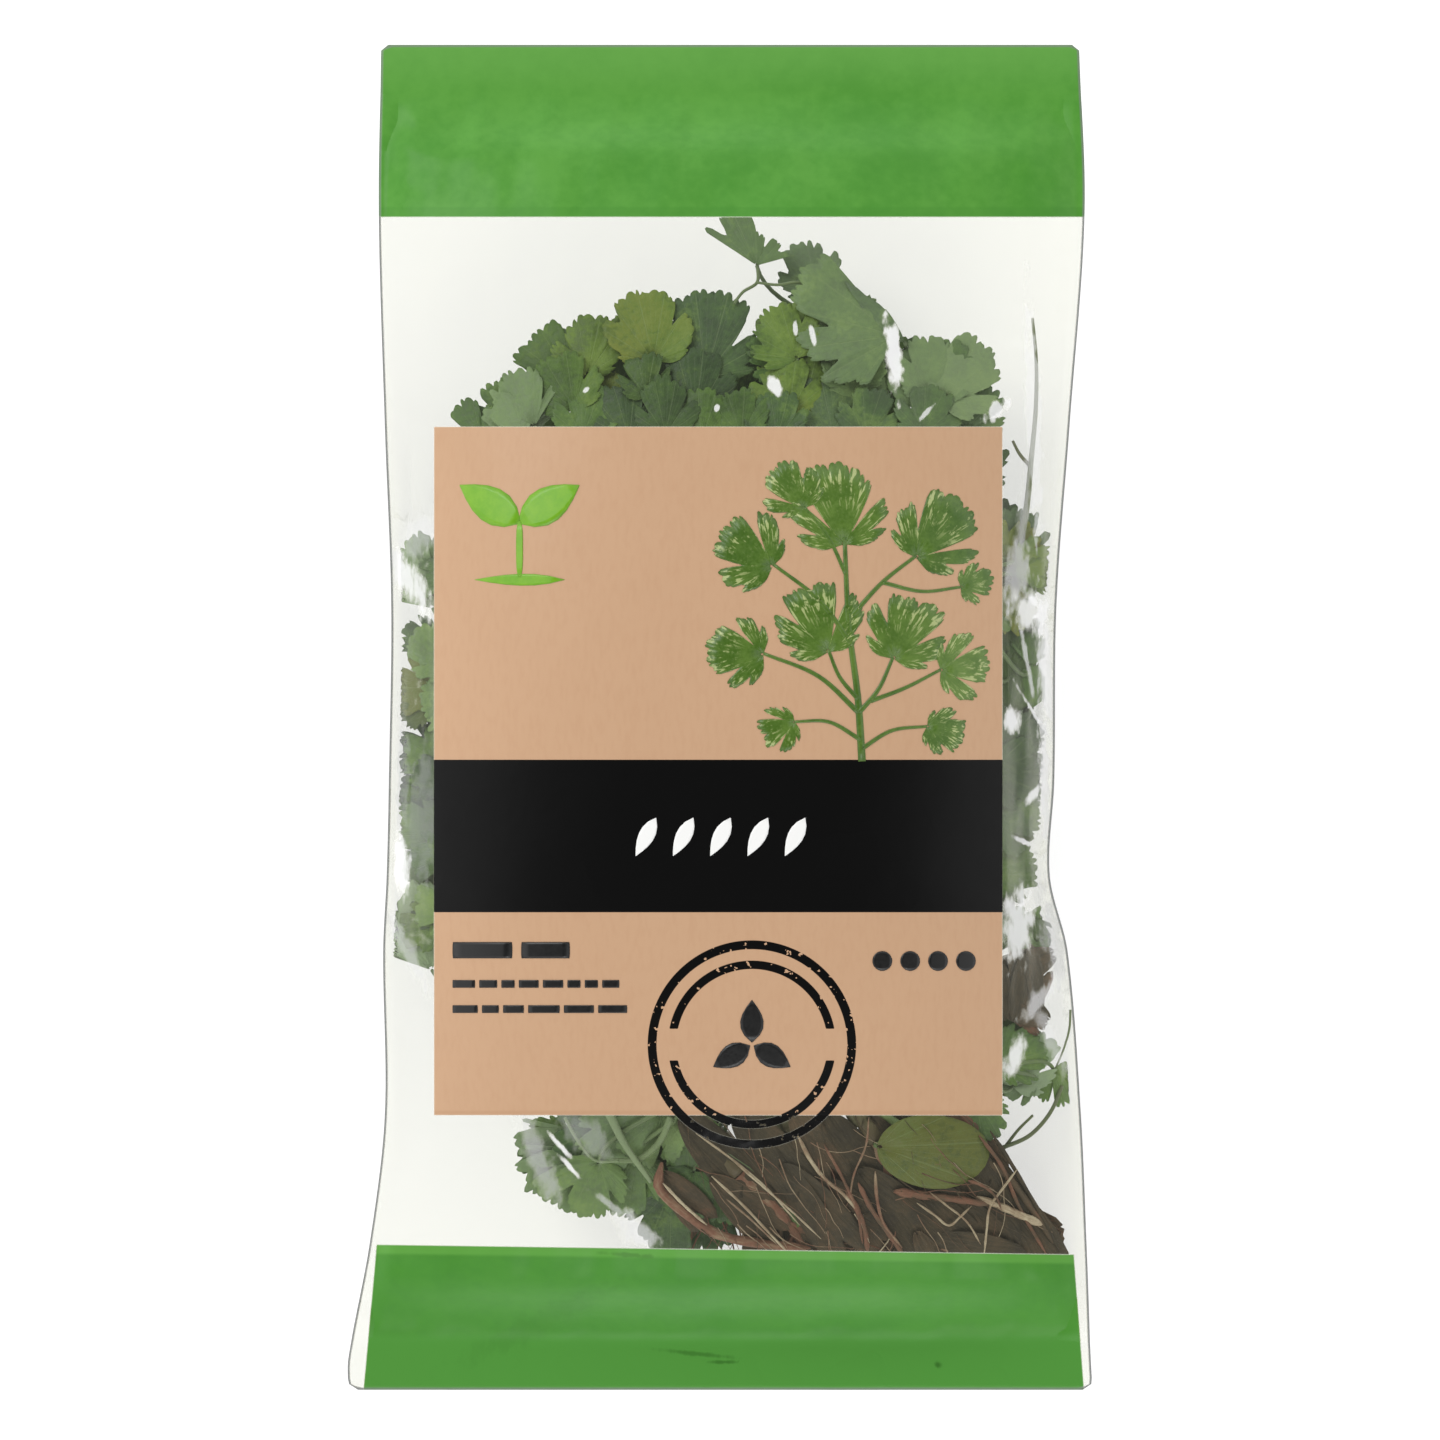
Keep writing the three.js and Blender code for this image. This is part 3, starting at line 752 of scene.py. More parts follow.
        # the stamp: two worn rings, the inner one broken
        cx, cy = printing["stampCentre"]
        dx, dy = minus(tree, seenX, cx), minus(tree, seenY, cy)
        radius = calc(tree, "SQRT", plus(tree, times(tree, dx, dx), times(tree, dy, dy)))
        rings = between(tree, radius, *printing["stampOuter"], 0.2)
        broken = ramp(tree, calc(tree, "ABSOLUTE", dy), 3.4, 3.8)
        inner = times(tree, between(tree, radius, *printing["stampInner"], 0.2), broken)
        rings = larger(tree, rings, inner)
        blotches = ramp(tree, noise(tree, place, 800.0, 2.0), 0.33, 0.37)
        rings = times(tree, rings, blotches)
        ink = larger(tree, dark, rings)
        colour = blend(tree, ramp(tree, ink, 0.0, 0.4), colour, printing["black"])
        printed = larger(tree, printed, panel)
        cover = larger(tree, printed, rings)

    fill(tree, shader.inputs["Base Color"], colour)
    fill(tree, shader.inputs["Alpha"], larger(tree, cover, haze))
    roughness = ramp(tree, printed, 0.0, 1.0, film["roughness"], film["printRoughness"])
    fill(tree, shader.inputs["Roughness"], roughness)
    fill(tree, shader.inputs["Specular IOR Level"], ramp(tree, printed, 0.0, 1.0, *film["specular"]))
    shader.inputs["IOR"].default_value = film["index"]
    strength = ramp(tree, printed, 0.0, 1.0, *film["bump"])
    addBump(tree, shader, creases["Height"], strength, film["bumpDepth"])
    return material


# The plants: the same crowns, stalks, leaves and roots as the solids.
layers = 5
leastRoom = [11, 11, 11, 5, 11]
stalk = dict(crown=1.3, tip=0.65, sides=8, steps=26, solidSteps=5, apart=1.5, crownLength=9,
             crownRadius=2.4)
leaf = dict(pairBack=0.75, stem=0.45, side=0.86, spread=80, spreadDraw=16, tipOverlap=3)
root = dict(heading=-52, length=34, gap=0.3, tip=0.8, wander=18, steps=6, rootlets=4,
            uneven=0.1, rings=30, sides=10)

# Each plant: its layer from the bottom, its side of the layer's dividing line, its crown, and its
# leaves as x, y, heading, end leaflet's length, side leaflets, tone and lightness.
# Tone runs from dark blue-green at 0 to yellow-green at 1.
plants = [
    (0, -1, (2, -96), [(-22, 68, 100, 14, 2, 0.15, 0.0), (-54, 30, 140, 14, 2, 0.3, 0.1),
                       (-48, -26, 165, 13, 2, 0.4, 0.1), (-24, 10, 118, 14, 2, 0.3, 0.0)]),
    (0, 1, (44, -98), [(14, 76, 88, 14, 2, 0.25, 0.0), (46, 60, 60, 14, 2, 0.2, 0.1),
                       (58, 8, 25, 13, 2, 0.35, 0.1), (20, 12, 82, 14, 2, 0.4, 0.0)]),
    (1, -1, (12, -93), [(-40, 62, 118, 14, 2, 0.15, 0.0), (-4, 76, 92, 14, 2, 0.1, 0.0),
                        (-56, 0, 165, 14, 2, 0.35, 0.15), (2, -24, 104, 14, 2, 0.4, 0.0)]),
    (1, 1, (52, -95), [(38, 74, 66, 14, 2, 0.2, 0.1), (60, 38, 40, 13, 2, 0.3, 0.2),
                       (60, -24, 12, 13, 2, 0.2, 0.1), (32, 20, 86, 13, 2, 0.4, 0.0)]),
    (2, -1, (-6, -97), [(-52, 44, 132, 14, 2, 0.3, 0.3), (-12, 70, 92, 14, 2, 0.15, 0.0),
                        (-57, -42, 175, 13, 2, 0.45, 0.1), (-34, -94, 214, 14, 2, 0.35, 0.1)]),
    (2, 1, (38, -96), [(24, 80, 82, 14, 2, 0.45, 0.0), (54, 52, 50, 14, 2, 0.3, 0.2),
                       (62, -4, 15, 12, 2, 0.2, 0.1), (18, 46, 84, 14, 2, 0.35, 0.0)]),
    (3, -1, (20, -95), [(-30, 75, 108, 14, 2, 0.45, 0.0), (-4, 82, 90, 14, 2, 0.05, 0.1),
                        (-62, -10, 178, 12, 2, 0.35, 0.2), (-50, 34, 148, 14, 2, 0.35, 0.3)]),
    (3, 1, (50, -92), [(21, 95, 128, 13, 2, 0.2, 0.6), (30, 74, 66, 14, 2, 0.5, 0.1),
                       (63, 35, 20, 12, 2, 0.95, 0.0), (64, -50, 10, 12, 2, 0.35, 0.1)]),
    (4, -1, (4, -100), [(-16, 80, 96, 15, 2, 0.8, 0.1), (-43, 64, 124, 13, 2, 0.5, 0.5),
                        (-60, 12, 160, 12, 2, 0.6, 0.2), (-58, -42, 195, 12, 2, 0.65, 0.1)]),
    (4, 1, (34, -93), [(16, 79, 84, 15, 2, 0.65, 0.1), (46, 71, 42, 15, 2, 0.4, 0.35),
                       (62, -76, 40, 12, 2, 0.45, 0.1), (46, -93, -8, 15, 0, 0.9, 0.0)]),
]
divideFootY = -97
divideHeadX = [-8, 12, 4, 3, -2]
divideHeadY = 110

# Leaflets that show through the clear film, as they are seen: plant, x and y of the middle,
# heading, length, height between the walls, tone, lightness, whose values below 0 are painted shade, and
# kind.
seenLeaves = [
    # the head window, from the left
    (9, -55.5, 66.6, 118, 10, 0.86, 0.3, 0.1, "fan"),
    (9, -49.0, 71.0, 112, 11, 0.80, 0.3, 0.1, "fan"),
    (9, -43.2, 71.6, 106, 14, 0.965, 0.5, 0.42, "narrow"),
    (9, -46.5, 66.5, 120, 12, 0.97, 0.5, 0.5, "narrow"),
    (7, -38.3, 80.0, 134, 16, 0.86, 0.42, -0.15, "fan"),
    (9, -29.8, 83.2, 92, 14, 0.92, 0.75, -0.1, "fan"),
    (9, -35.0, 75.2, 110, 14, 0.96, 0.5, -0.1, "fan"),
    (7, -30.0, 68.4, 84, 13, 0.98, 0.4, 0.05, "fan"),
    (5, -24.6, 73.5, 80, 16, 0.66, 0.15, 0.0, "fan"),
    (9, -21.5, 68.6, 100, 14, 0.97, 0.1, -0.25, "fan"),
    (5, -16.0, 71.0, 100, 16, 0.64, 0.1, 0.0, "fan"),
    (9, -15.8, 87.6, 96, 17, 0.95, 0.85, -0.12, "fan"),
    (9, -17.0, 76.6, 96, 11, 0.965, 0.35, -0.3, "fan"),
    (9, -12.5, 69.8, 92, 14, 0.98, 0.25, -0.25, "fan"),
    (7, -2.6, 85.8, 86, 20, 0.92, 0.08, 0.06, "fan"),
    (7, -6.4, 74.6, 95, 16, 0.95, 0.1, -0.2, "fan"),
    (9, -3.6, 67.6, 84, 12, 0.975, 0.45, -0.05, "fan"),
    (5, 5.0, 74.5, 75, 17, 0.66, 0.05, 0.0, "fan"),
    (7, 3.6, 68.4, 100, 12, 0.975, 0.4, -0.1, "fan"),
    (10, 13.6, 86.0, 118, 14, 0.93, 0.7, 0.0, "fan"),
    (10, 10.5, 80.5, 150, 11, 0.90, 0.35, 0.0, "fan"),
    (10, 14.6, 74.5, 95, 14, 0.92, 0.74, 0.0, "fan"),
    (8, 20.8, 75.0, 70, 13, 0.89, 0.75, 0.0, "fan"),
    (8, 12.6, 67.8, 90, 12, 0.97, 0.15, 0.0, "fan"),
    (10, 29.5, 79.5, 88, 13, 0.91, 0.5, 0.3, "fan"),
    (8, 29.6, 95.2, 132.7, 28, 0.97, 0.42, 0.36, "folded"),
    (8, 34.0, 90.6, 133.6, 20, 0.985, 0.1, 0.3, "edge"),
    (8, 6.0, 108.6, 104, 17, 0.91, 0.25, 0.25, "torn"),
    (8, 25.0, 69.5, 92, 16, 0.93, 0.12, 0.15, "fan"),
    (8, 33.0, 68.8, 84, 13, 0.95, 0.12, 0.1, "fan"),
    (6, 31.0, 76.0, 85, 14, 0.70, 0.3, 0.0, "fan"),
    (8, 44.6, 76.8, 96, 14, 0.90, 0.35, 0.35, "fan"),
    (10, 47.6, 78.2, 84, 15, 0.93, 0.45, 0.5, "fan"),
    (10, 54.6, 76.8, 48, 17, 0.94, 0.6, 0.62, "fan"),
    (10, 46.5, 69.0, 78, 13, 0.96, 0.25, 0.2, "fan"),
    (8, 57.5, 69.0, 60, 12, 0.86, 0.2, 0.28, "fan"),
    # the left strip
    (9, -68.4, 32.0, 120, 18, 0.75, 0.3, 0.6, "narrow"),
    (9, -65.8, 35.5, 100, 12, 0.70, 0.25, 0.2, "fan"),
    (9, -64.5, 30.0, 205, 9, 0.80, 0.3, 0.1, "fan"),
    (7, -67.4, 17.4, 168, 9, 0.70, 0.05, 0.05, "fan"),
    (9, -62.8, 15.0, 172, 11, 0.90, 0.4, 0.3, "fan"),
    (9, -62.8, 4.0, 186, 11, 0.90, 0.35, 0.2, "fan"),
    (9, -69.4, 7.4, 172, 11, 0.84, 1.0, -0.45, "fan"),
    (7, -69.8, 1.8, 190, 9, 0.80, 0.85, -0.65, "fan"),
    (7, -67.6, -8.0, 178, 13, 0.60, 0.05, -0.15, "fan"),
    (9, -64.8, -12.5, 160, 10, 0.78, 0.1, -0.25, "fan"),
    (5, -67.0, -17.0, 190, 14, 0.50, 0.1, 0.0, "fan"),
    (7, -66.6, -25.0, 172, 13, 0.60, 0.25, 0.2, "fan"),
    (9, -64.4, -31.5, 200, 10, 0.76, 0.2, 0.0, "fan"),
    (5, -65.8, -34.0, 178, 12, 0.50, 0.25, 0.2, "fan"),
    (9, -68.4, -46.6, 114, 21, 0.70, 0.3, 0.75, "narrow"),
    (9, -67.4, -46.6, 195, 10, 0.88, 0.65, -0.28, "fan"),
    (9, -65.8, -42.4, 150, 8, 0.86, 0.2, -0.45, "fan"),
    # the right strip
    (8, 64.4, 40.0, 92, 17, 0.60, 0.15, 0.2, "narrow"),
    (8, 70.6, 34.6, 2, 9.6, 0.88, 0.8, -0.15, "fan"),
    (8, 70.6, 31.0, -10, 8, 0.86, 0.75, -0.35, "fan"),
    (6, 65.6, 30.5, 80, 13, 0.45, 0.3, 0.8, "narrow"),
    (8, 64.8, 17.2, 86, 15, 0.60, 0.3, -0.4, "narrow"),
    (8, 65.4, 7.4, 80, 15, 0.64, 0.45, -0.5, "narrow"),
    (8, 69.4, 15.6, 82, 9, 0.62, 0.3, 0.1, "narrow"),
    (8, 69.6, 6.8, 84, 10, 0.62, 0.35, 0.05, "narrow"),
    (8, 66.8, -4.0, 40, 14, 0.74, 0.1, -0.4, "fan"),
    (6, 65.4, -9.0, 10, 13, 0.66, 0.1, -0.2, "fan"),
    (8, 67.0, -13.0, -10, 14, 0.74, 0.15, -0.35, "fan"),
    (8, 66.4, -22.0, 0, 14, 0.72, 0.2, -0.25, "fan"),
    (6, 65.4, -33.5, 12, 13, 0.64, 0.45, -0.3, "fan"),
    (8, 70.9, -47.2, -70, 6, 0.74, 0.5, -0.6, "narrow"),
    (6, 65.0, -68.0, 60, 13, 0.66, 0.3, 0.3, "fan"),
    (10, 68.4, -76.0, 60, 14, 0.85, 0.15, 0.85, "fan"),
    (10, 65.6, -82.0, 200, 8, 0.80, 0.2, 0.4, "fan"),
    (10, 76.4, -82.6, -62, 10, 0.72, 0.5, 0.1, "fan"),
    # the foot window
    (5, -39.5, -95.0, 215, 13, 0.60, 0.3, 0.6, "narrow"),
    (5, -38.5, -100.5, 225, 14, 0.66, 0.3, 0.5, "narrow"),
    (5, -35.0, -103.5, 235, 14, 0.76, 0.35, 0.35, "fan"),
    (9, -29.0, -105.5, 255, 14, 0.88, 0.5, 0.25, "fan"),
    (5, -31.5, -95.5, 215, 15, 0.84, 0.1, 0.0, "fan"),
    (7, -25.0, -95.0, 235, 15, 0.88, 0.3, 0.35, "fan"),
    (9, -21.0, -104.0, 250, 15, 0.84, 0.4, 0.2, "fan"),
    (9, -17.0, -94.5, 240, 15, 0.92, 0.45, 0.35, "fan"),
    (5, -12.0, -112.5, 262, 15, 0.62, 0.1, 0.1, "fan"),
    (7, -13.0, -101.0, 245, 15, 0.78, 0.25, 0.0, "fan"),
    (9, -8.0, -95.5, 255, 14, 0.90, 0.35, 0.1, "fan"),
    (3, -3.0, -112.0, 275, 15, 0.40, 0.15, 0.0, "fan"),
    (7, 2.0, -107.0, 280, 14, 0.70, 0.3, 0.0, "fan"),
    (9, 9.0, -106.0, 290, 12, 0.78, 0.35, 0.0, "fan"),
    (10, 47.4, -96.6, -6, 25, 1.03, 1.0, -0.5, "oval"),
    (9, 4.0, -101.0, 300, 9, 0.93, 0.5, -0.3, "fan"),
    (9, 17.5, -109.6, 315, 8, 0.93, 0.2, -0.3, "fan"),
    (7, -8.0, -106.5, 250, 12, 0.90, 0.2, -0.1, "fan"),
]

# Bare stems that show there: plant, radius at both ends, tone, lightness, withering, height and points.
seenStems = [
    (9, 1.0, 0.55, 0.4, 0.95, 0.0, 1.02, [(-24.8, -88), (-21.6, -94.5), (-18.6, -99), (-15.4, -103.4)]),
    (9, 0.4, 0.3, 0.4, 0.8, 0.0, 1.02, [(-34.6, -89), (-31.5, -94.5), (-27.8, -98.6), (-22.5, -98.8)]),
    (7, 0.9, 0.5, 0.35, 0.5, 0.1, 0.97, [(-11, -89), (-14, -95), (-18.5, -98.4), (-24, -98.6)]),
    (8, 0.32, 0.75, 0.1, 1.0, 0.45, 0.8,
     [(69.4, 88.8), (70.2, 80), (70.2, 70), (69.2, 58), (68.0, 46), (66.6, 38)]),
    (8, 0.3, 0.45, 0.1, 1.0, 0.6, 0.78, [(65.0, 61.5), (66.6, 58.5), (68.8, 56)]),
    (8, 0.32, 0.4, 0.3, 0.3, 0.2, 0.93, [(3.0, 92), (5.0, 94.6), (8.1, 96.7), (8.2, 101)]),
    (8, 0.3, 0.4, 0.3, 0.3, 0.2, 0.93, [(8.1, 96.7), (12.6, 96.2), (17.6, 96.7), (21.9, 94.6), (24.3, 91)]),
    (10, 0.26, 0.22, 0.4, 1.0, 0.3, 0.72, [(77.8, -65), (77.6, -69), (76.6, -73), (74.6, -78)]),
    (10, 0.42, 0.5, 0.2, 0.2, 0.4, 0.80, [(76, -82), (73.3, -88), (68.8, -93), (62.2, -96)]),
    (10, 0.3, 0.4, 0.2, 0.2, 0.4, 0.78, [(69.5, -88.5), (66.5, -91.5), (63, -96)]),
]
blade = dict(
    half=0.11,
    rings=[0.045, 0.28, 0.52, 0.74, 0.9, 1.0],
    toothWidth=2.1,
    fineTooth=1.65,
    perTooth=4,
    lobeCuts=[(-34, 0.40), (34, 0.38), (-69, 0.22), (69, 0.22)],
    cutWidth=4.6,
    pleat=0.28,
    arch=0.004,
    tilt=0.12,
    curl=0.7,
)
leafArcs = dict(fan=(-102, 102), narrow=(-48, 48), edge=(-30, 30), oval=(-84, 84), skin=(-82, 82),
                folded=(-3, 108), torn=(-88, 42))
ovalWidths = dict(oval=0.66, skin=0.27)
smallLeaf = dict(count=14, share=(0.38, 0.9), turn=(35, 95), stem=(4, 11), length=(8, 12.5),
                 tone=(0.15, 0.6), light=(0, 0.2), tilt=0.6, spread=0.03, leastRoom=6,
                 offDivide=2, lowest=-70)
# painted shade: leaves deep in the bunch are painted darker, as the leaves above shade them
deepShade = 0.45  # leaves deep in the bunch are darker
tucked = {(8, 48): 0.55}  # a side leaflet that lies under the folded leaf: plant, rough heading, scale


def rowsOf(rows, number):
    return [row[1:] for row in rows if row[0] == number]


def dividingX(layer, y):
    crowns = [plant[2][0] for plant in plants if plant[0] == layer]
    foot = sum(crowns) / 2
    below = foot + (y - divideFootY) / math.tan(radians(root["heading"]))
    above = mix(foot, divideHeadX[layer], (y - divideFootY) / (divideHeadY - divideFootY))
    return np.where(y < divideFootY, below, above)


def ownSide(plant, x, y):
    return plant[1] * (x - dividingX(plant[0], y))


# Keeps a height near the plant's own level, and off the film.
def settled(x, y, t, lift, spread=0.1, clear=0.5):
    low = inside(x, y, max(t - spread, 0.015))
    high = inside(x, y, min(t + spread, 1.03))
    z = np.clip(inside(x, y, t) + lift, low, high)
    under, over = filmHeight(x, y, "back") + clear, filmHeight(x, y, "front") - clear
    return np.clip(z, under, np.maximum(under, over))


def withinLayer(x, y, layer, half, z):
    low = inside(x, y, layer / layers) + half + 0.4
    high = inside(x, y, (layer + 1) / layers) - half - 0.4
    return np.where(low < high, np.clip(z, low, np.maximum(low, high)), (low + high) / 2)


# Draws places back towards a foot until the walls leave them room.
def drawnBack(foot, x, y, least):
    for _ in range(14):
        tight = room(x, y) < least
        x = np.where(tight, mix(x, foot[0], 0.12), x)
        y = np.where(tight, mix(y, foot[1], 0.12), y)
    return x, y


def crownHeading(plant):
    return root["heading"] + 180 + (-12 if plant[1] > 0 else 6)


def crownPoint(plant, along, beside=0.0):
    x, y = moved(*plant[2], crownHeading(plant), along)
    return moved(x, y, crownHeading(plant) + 90, beside)


def orderOf(plant, row):
    def direction(other):
        off = math.atan2(other[1] - plant[2][1], other[0] - plant[2][0]) - radians(crownHeading(plant))
        return math.atan2(math.sin(off), math.cos(off))

    return sum(direction(other) < direction(row) for other in plant[3])


def stalkPath(plant, row, t, steps):
    beside = (orderOf(plant, row) - (len(plant[3]) - 1) / 2) * stalk["apart"]
    start = np.array(crownPoint(plant, stalk["crownLength"] / 2, beside))
    tip = np.array(row[:2], float)
    span = np.linalg.norm(tip - start)
    leave = np.array(crownPoint(plant, stalk["crownLength"] / 2 + span * 0.34, beside))
    arrive = np.array(moved(*tip, row[2], -0.3 * span))
    s = np.linspace(0, 1, steps + 1)[:, None]
    flat = bezier(s, start, leave, arrive, tip)
    x, y, s = flat[:, 0], flat[:, 1], s[:, 0]
    radii = mix(stalk["crown"], stalk["tip"], s)
    x = x + plant[1] * np.maximum(radii + 0.3 - ownSide(plant, x, y), 0)
    level = inside(x, y, mix((plant[0] + 0.5) / layers, t, s))
    return np.stack([x, y, withinLayer(x, y, plant[0], radii, level)], 1), radii


def backFrom(path, gone):
    i = len(path) - 1
    while i > 1 and gone > np.linalg.norm(path[i] - path[i - 1]):
        gone -= np.linalg.norm(path[i] - path[i - 1])
        i -= 1
    step = path[i] - path[i - 1]
    at = path[i] - step * gone / np.linalg.norm(step)
    return at, math.degrees(math.atan2(step[1], step[0]))


# The leaflets of a leaf, with the solids' own draws: foot, heading, own stem, length and tilts.
def leafletsOf(plant, row, path, draw):
    def tilts():
        return [blade["tilt"] * (2 * draw() - 1), blade["tilt"] * (2 * draw() - 1)]

    length = row[3]
    at, heading = backFrom(path, leaf["tipOverlap"])
    found = [(at, heading, leaf["tipOverlap"] - 1, length, tilts())]
    at, heading = backFrom(path, length * leaf["pairBack"])
    for hand in [-1, 1][: row[4]]:
        out = heading + hand * (leaf["spread"] + leaf["spreadDraw"] * (draw() - 0.5))
        found.append((at, out, length * leaf["stem"], length * leaf["side"], tilts()))
    kept = []
    for one in found:
        middle = moved(one[0][0], one[0][1], one[1], one[2] + 0.5 * one[3])
        if ownSide(plant, *middle) > 0.62 * one[3]:
            kept.append(one)
    return kept


# A blade's rim: angles off its midrib, and its reach there as a share of its length.
def bladeRim(kind, length, draws, perTooth, toothWidth=blade["toothWidth"], deeper=1.0):
    low, high = leafArcs[kind]
    if kind in ovalWidths:
        angle = np.linspace(low, high, 33)
        turn = np.radians(angle)
        reach = np.cos(turn) / (np.cos(turn) ** 2 + (np.sin(turn) / ovalWidths[kind]) ** 2)
        return angle, reach * (1 + (0.04 if kind == "skin" else 0.01) * np.sin(9 * turn + length))
    teeth = max(4, round(0.8 * length * radians(high - low) / toothWidth))
    starts = np.arange(teeth + 1) / teeth
    starts[1:-1] += draws.uniform(-0.3, 0.3, teeth - 1) / teeth
    phase = np.linspace(0, teeth, teeth * perTooth + 1)
    angle = mix(low, high, np.interp(phase, np.arange(teeth + 1), starts))
    turn = np.radians(angle)
    reach = np.cos(0.8 * turn) ** 0.8
    if kind == "torn":
        reach = mix(0.44, 0.95, smooth(angle, -20, 6))
    elif kind == "edge":
        reach = (1 - np.abs(angle) / 30.5) ** 1.3
    elif kind == "folded":
        reach = np.cos(0.62 * turn) ** 0.85
    tooth = np.minimum(phase.astype(int), teeth - 1)
    depth = toothWidth * 0.6 / length * draws.uniform(0.4, 1.5, teeth)[tooth]
    reach = reach * (1 - depth * (1 - np.abs(np.sin(math.pi * phase)) ** 0.6))
    reach = reach * (1 - 0.07 * (1 - np.abs(np.sin(math.pi * phase / 3 + draws.uniform(0, 3))) ** 0.7))
    for centre, cut in blade["lobeCuts"]:
        centre += draws.uniform(-5, 5)
        cut = min(cut * draws.uniform(0.5, 1.2) * deeper, 0.78)
        reach = reach * (1 - cut * np.exp(-(((angle - centre) / blade["cutWidth"]) ** 2)))
    lobes = draws.uniform(0.86, 1.04, 9)
    reach = reach * np.interp(angle, np.linspace(low, high, 9), lobes)
    return angle, reach


def addBlade(piece, foot, heading, length, t, look, tilts, draws, kind="fan", fine=True, spread=0.1,
             least=4.5, toothWidth=blade["toothWidth"]):
    angle, reach = bladeRim(kind, length, draws, blade["perTooth"] if fine else 3, toothWidth)
    share = np.array(blade["rings"])[:, None]
    turn = np.radians(angle)[None]
    x, y = moved(foot[0], foot[1], heading + angle[None], share * reach[None] * length)
    x, y = drawnBack(foot, x, y, least)
    out = np.hypot(x - foot[0], y - foot[1])
    lean = tilts[0] * np.cos(turn) + tilts[1] * np.sin(turn)
    lift = out * (lean - blade["arch"] * out)
    lift = lift + blade["pleat"] * share * np.cos(turn * 5.2 + draws.uniform(-0.4, 0.4))
    lift = lift + blade["curl"] * share**3 * np.sin(turn * 3 + draws.uniform(0, 6))
    z = settled(x, y, t, lift, spread)
    top = np.stack([x, y, z + blade["half"]], -1)
    bottom = np.stack([x, y, z - blade["half"]], -1)
    place = np.stack([share + 0 * x, (angle[None] + 0 * x) / 100, 0 * x], -1)
    if kind == "skin":  # fibres run the length of a skin, so its place is in millimetres
        place = np.stack([out * np.cos(turn), out * np.sin(turn), 0 * x], -1)
    addSheet(piece, top, bottom, look, place)


def bend(start, startHeading, end, endHeading, steps, reach):
    a, d = np.array(start[:2], float), np.array(end[:2], float)
    b, c = np.array(moved(*a, startHeading, reach)), np.array(moved(*d, endHeading + 180, reach))
    return bezier(np.linspace(0, 1, steps)[:, None], a, b, c, d)


def addStem(piece, flat, tFrom, tTo, radii, look, sides=6, late=1.0, kind=1):
    s = np.linspace(0, 1, len(flat)) ** late
    x, y = flat[:, 0], flat[:, 1]
    clear = np.max(radii) + 0.3
    z = np.array([settled(px, py, mix(tFrom, tTo, share), 0.0, 0.1, clear)
                  for px, py, share in zip(x, y, s)])
    addTube(piece, np.stack([x, y, z], 1), radii, sides, look, kind)


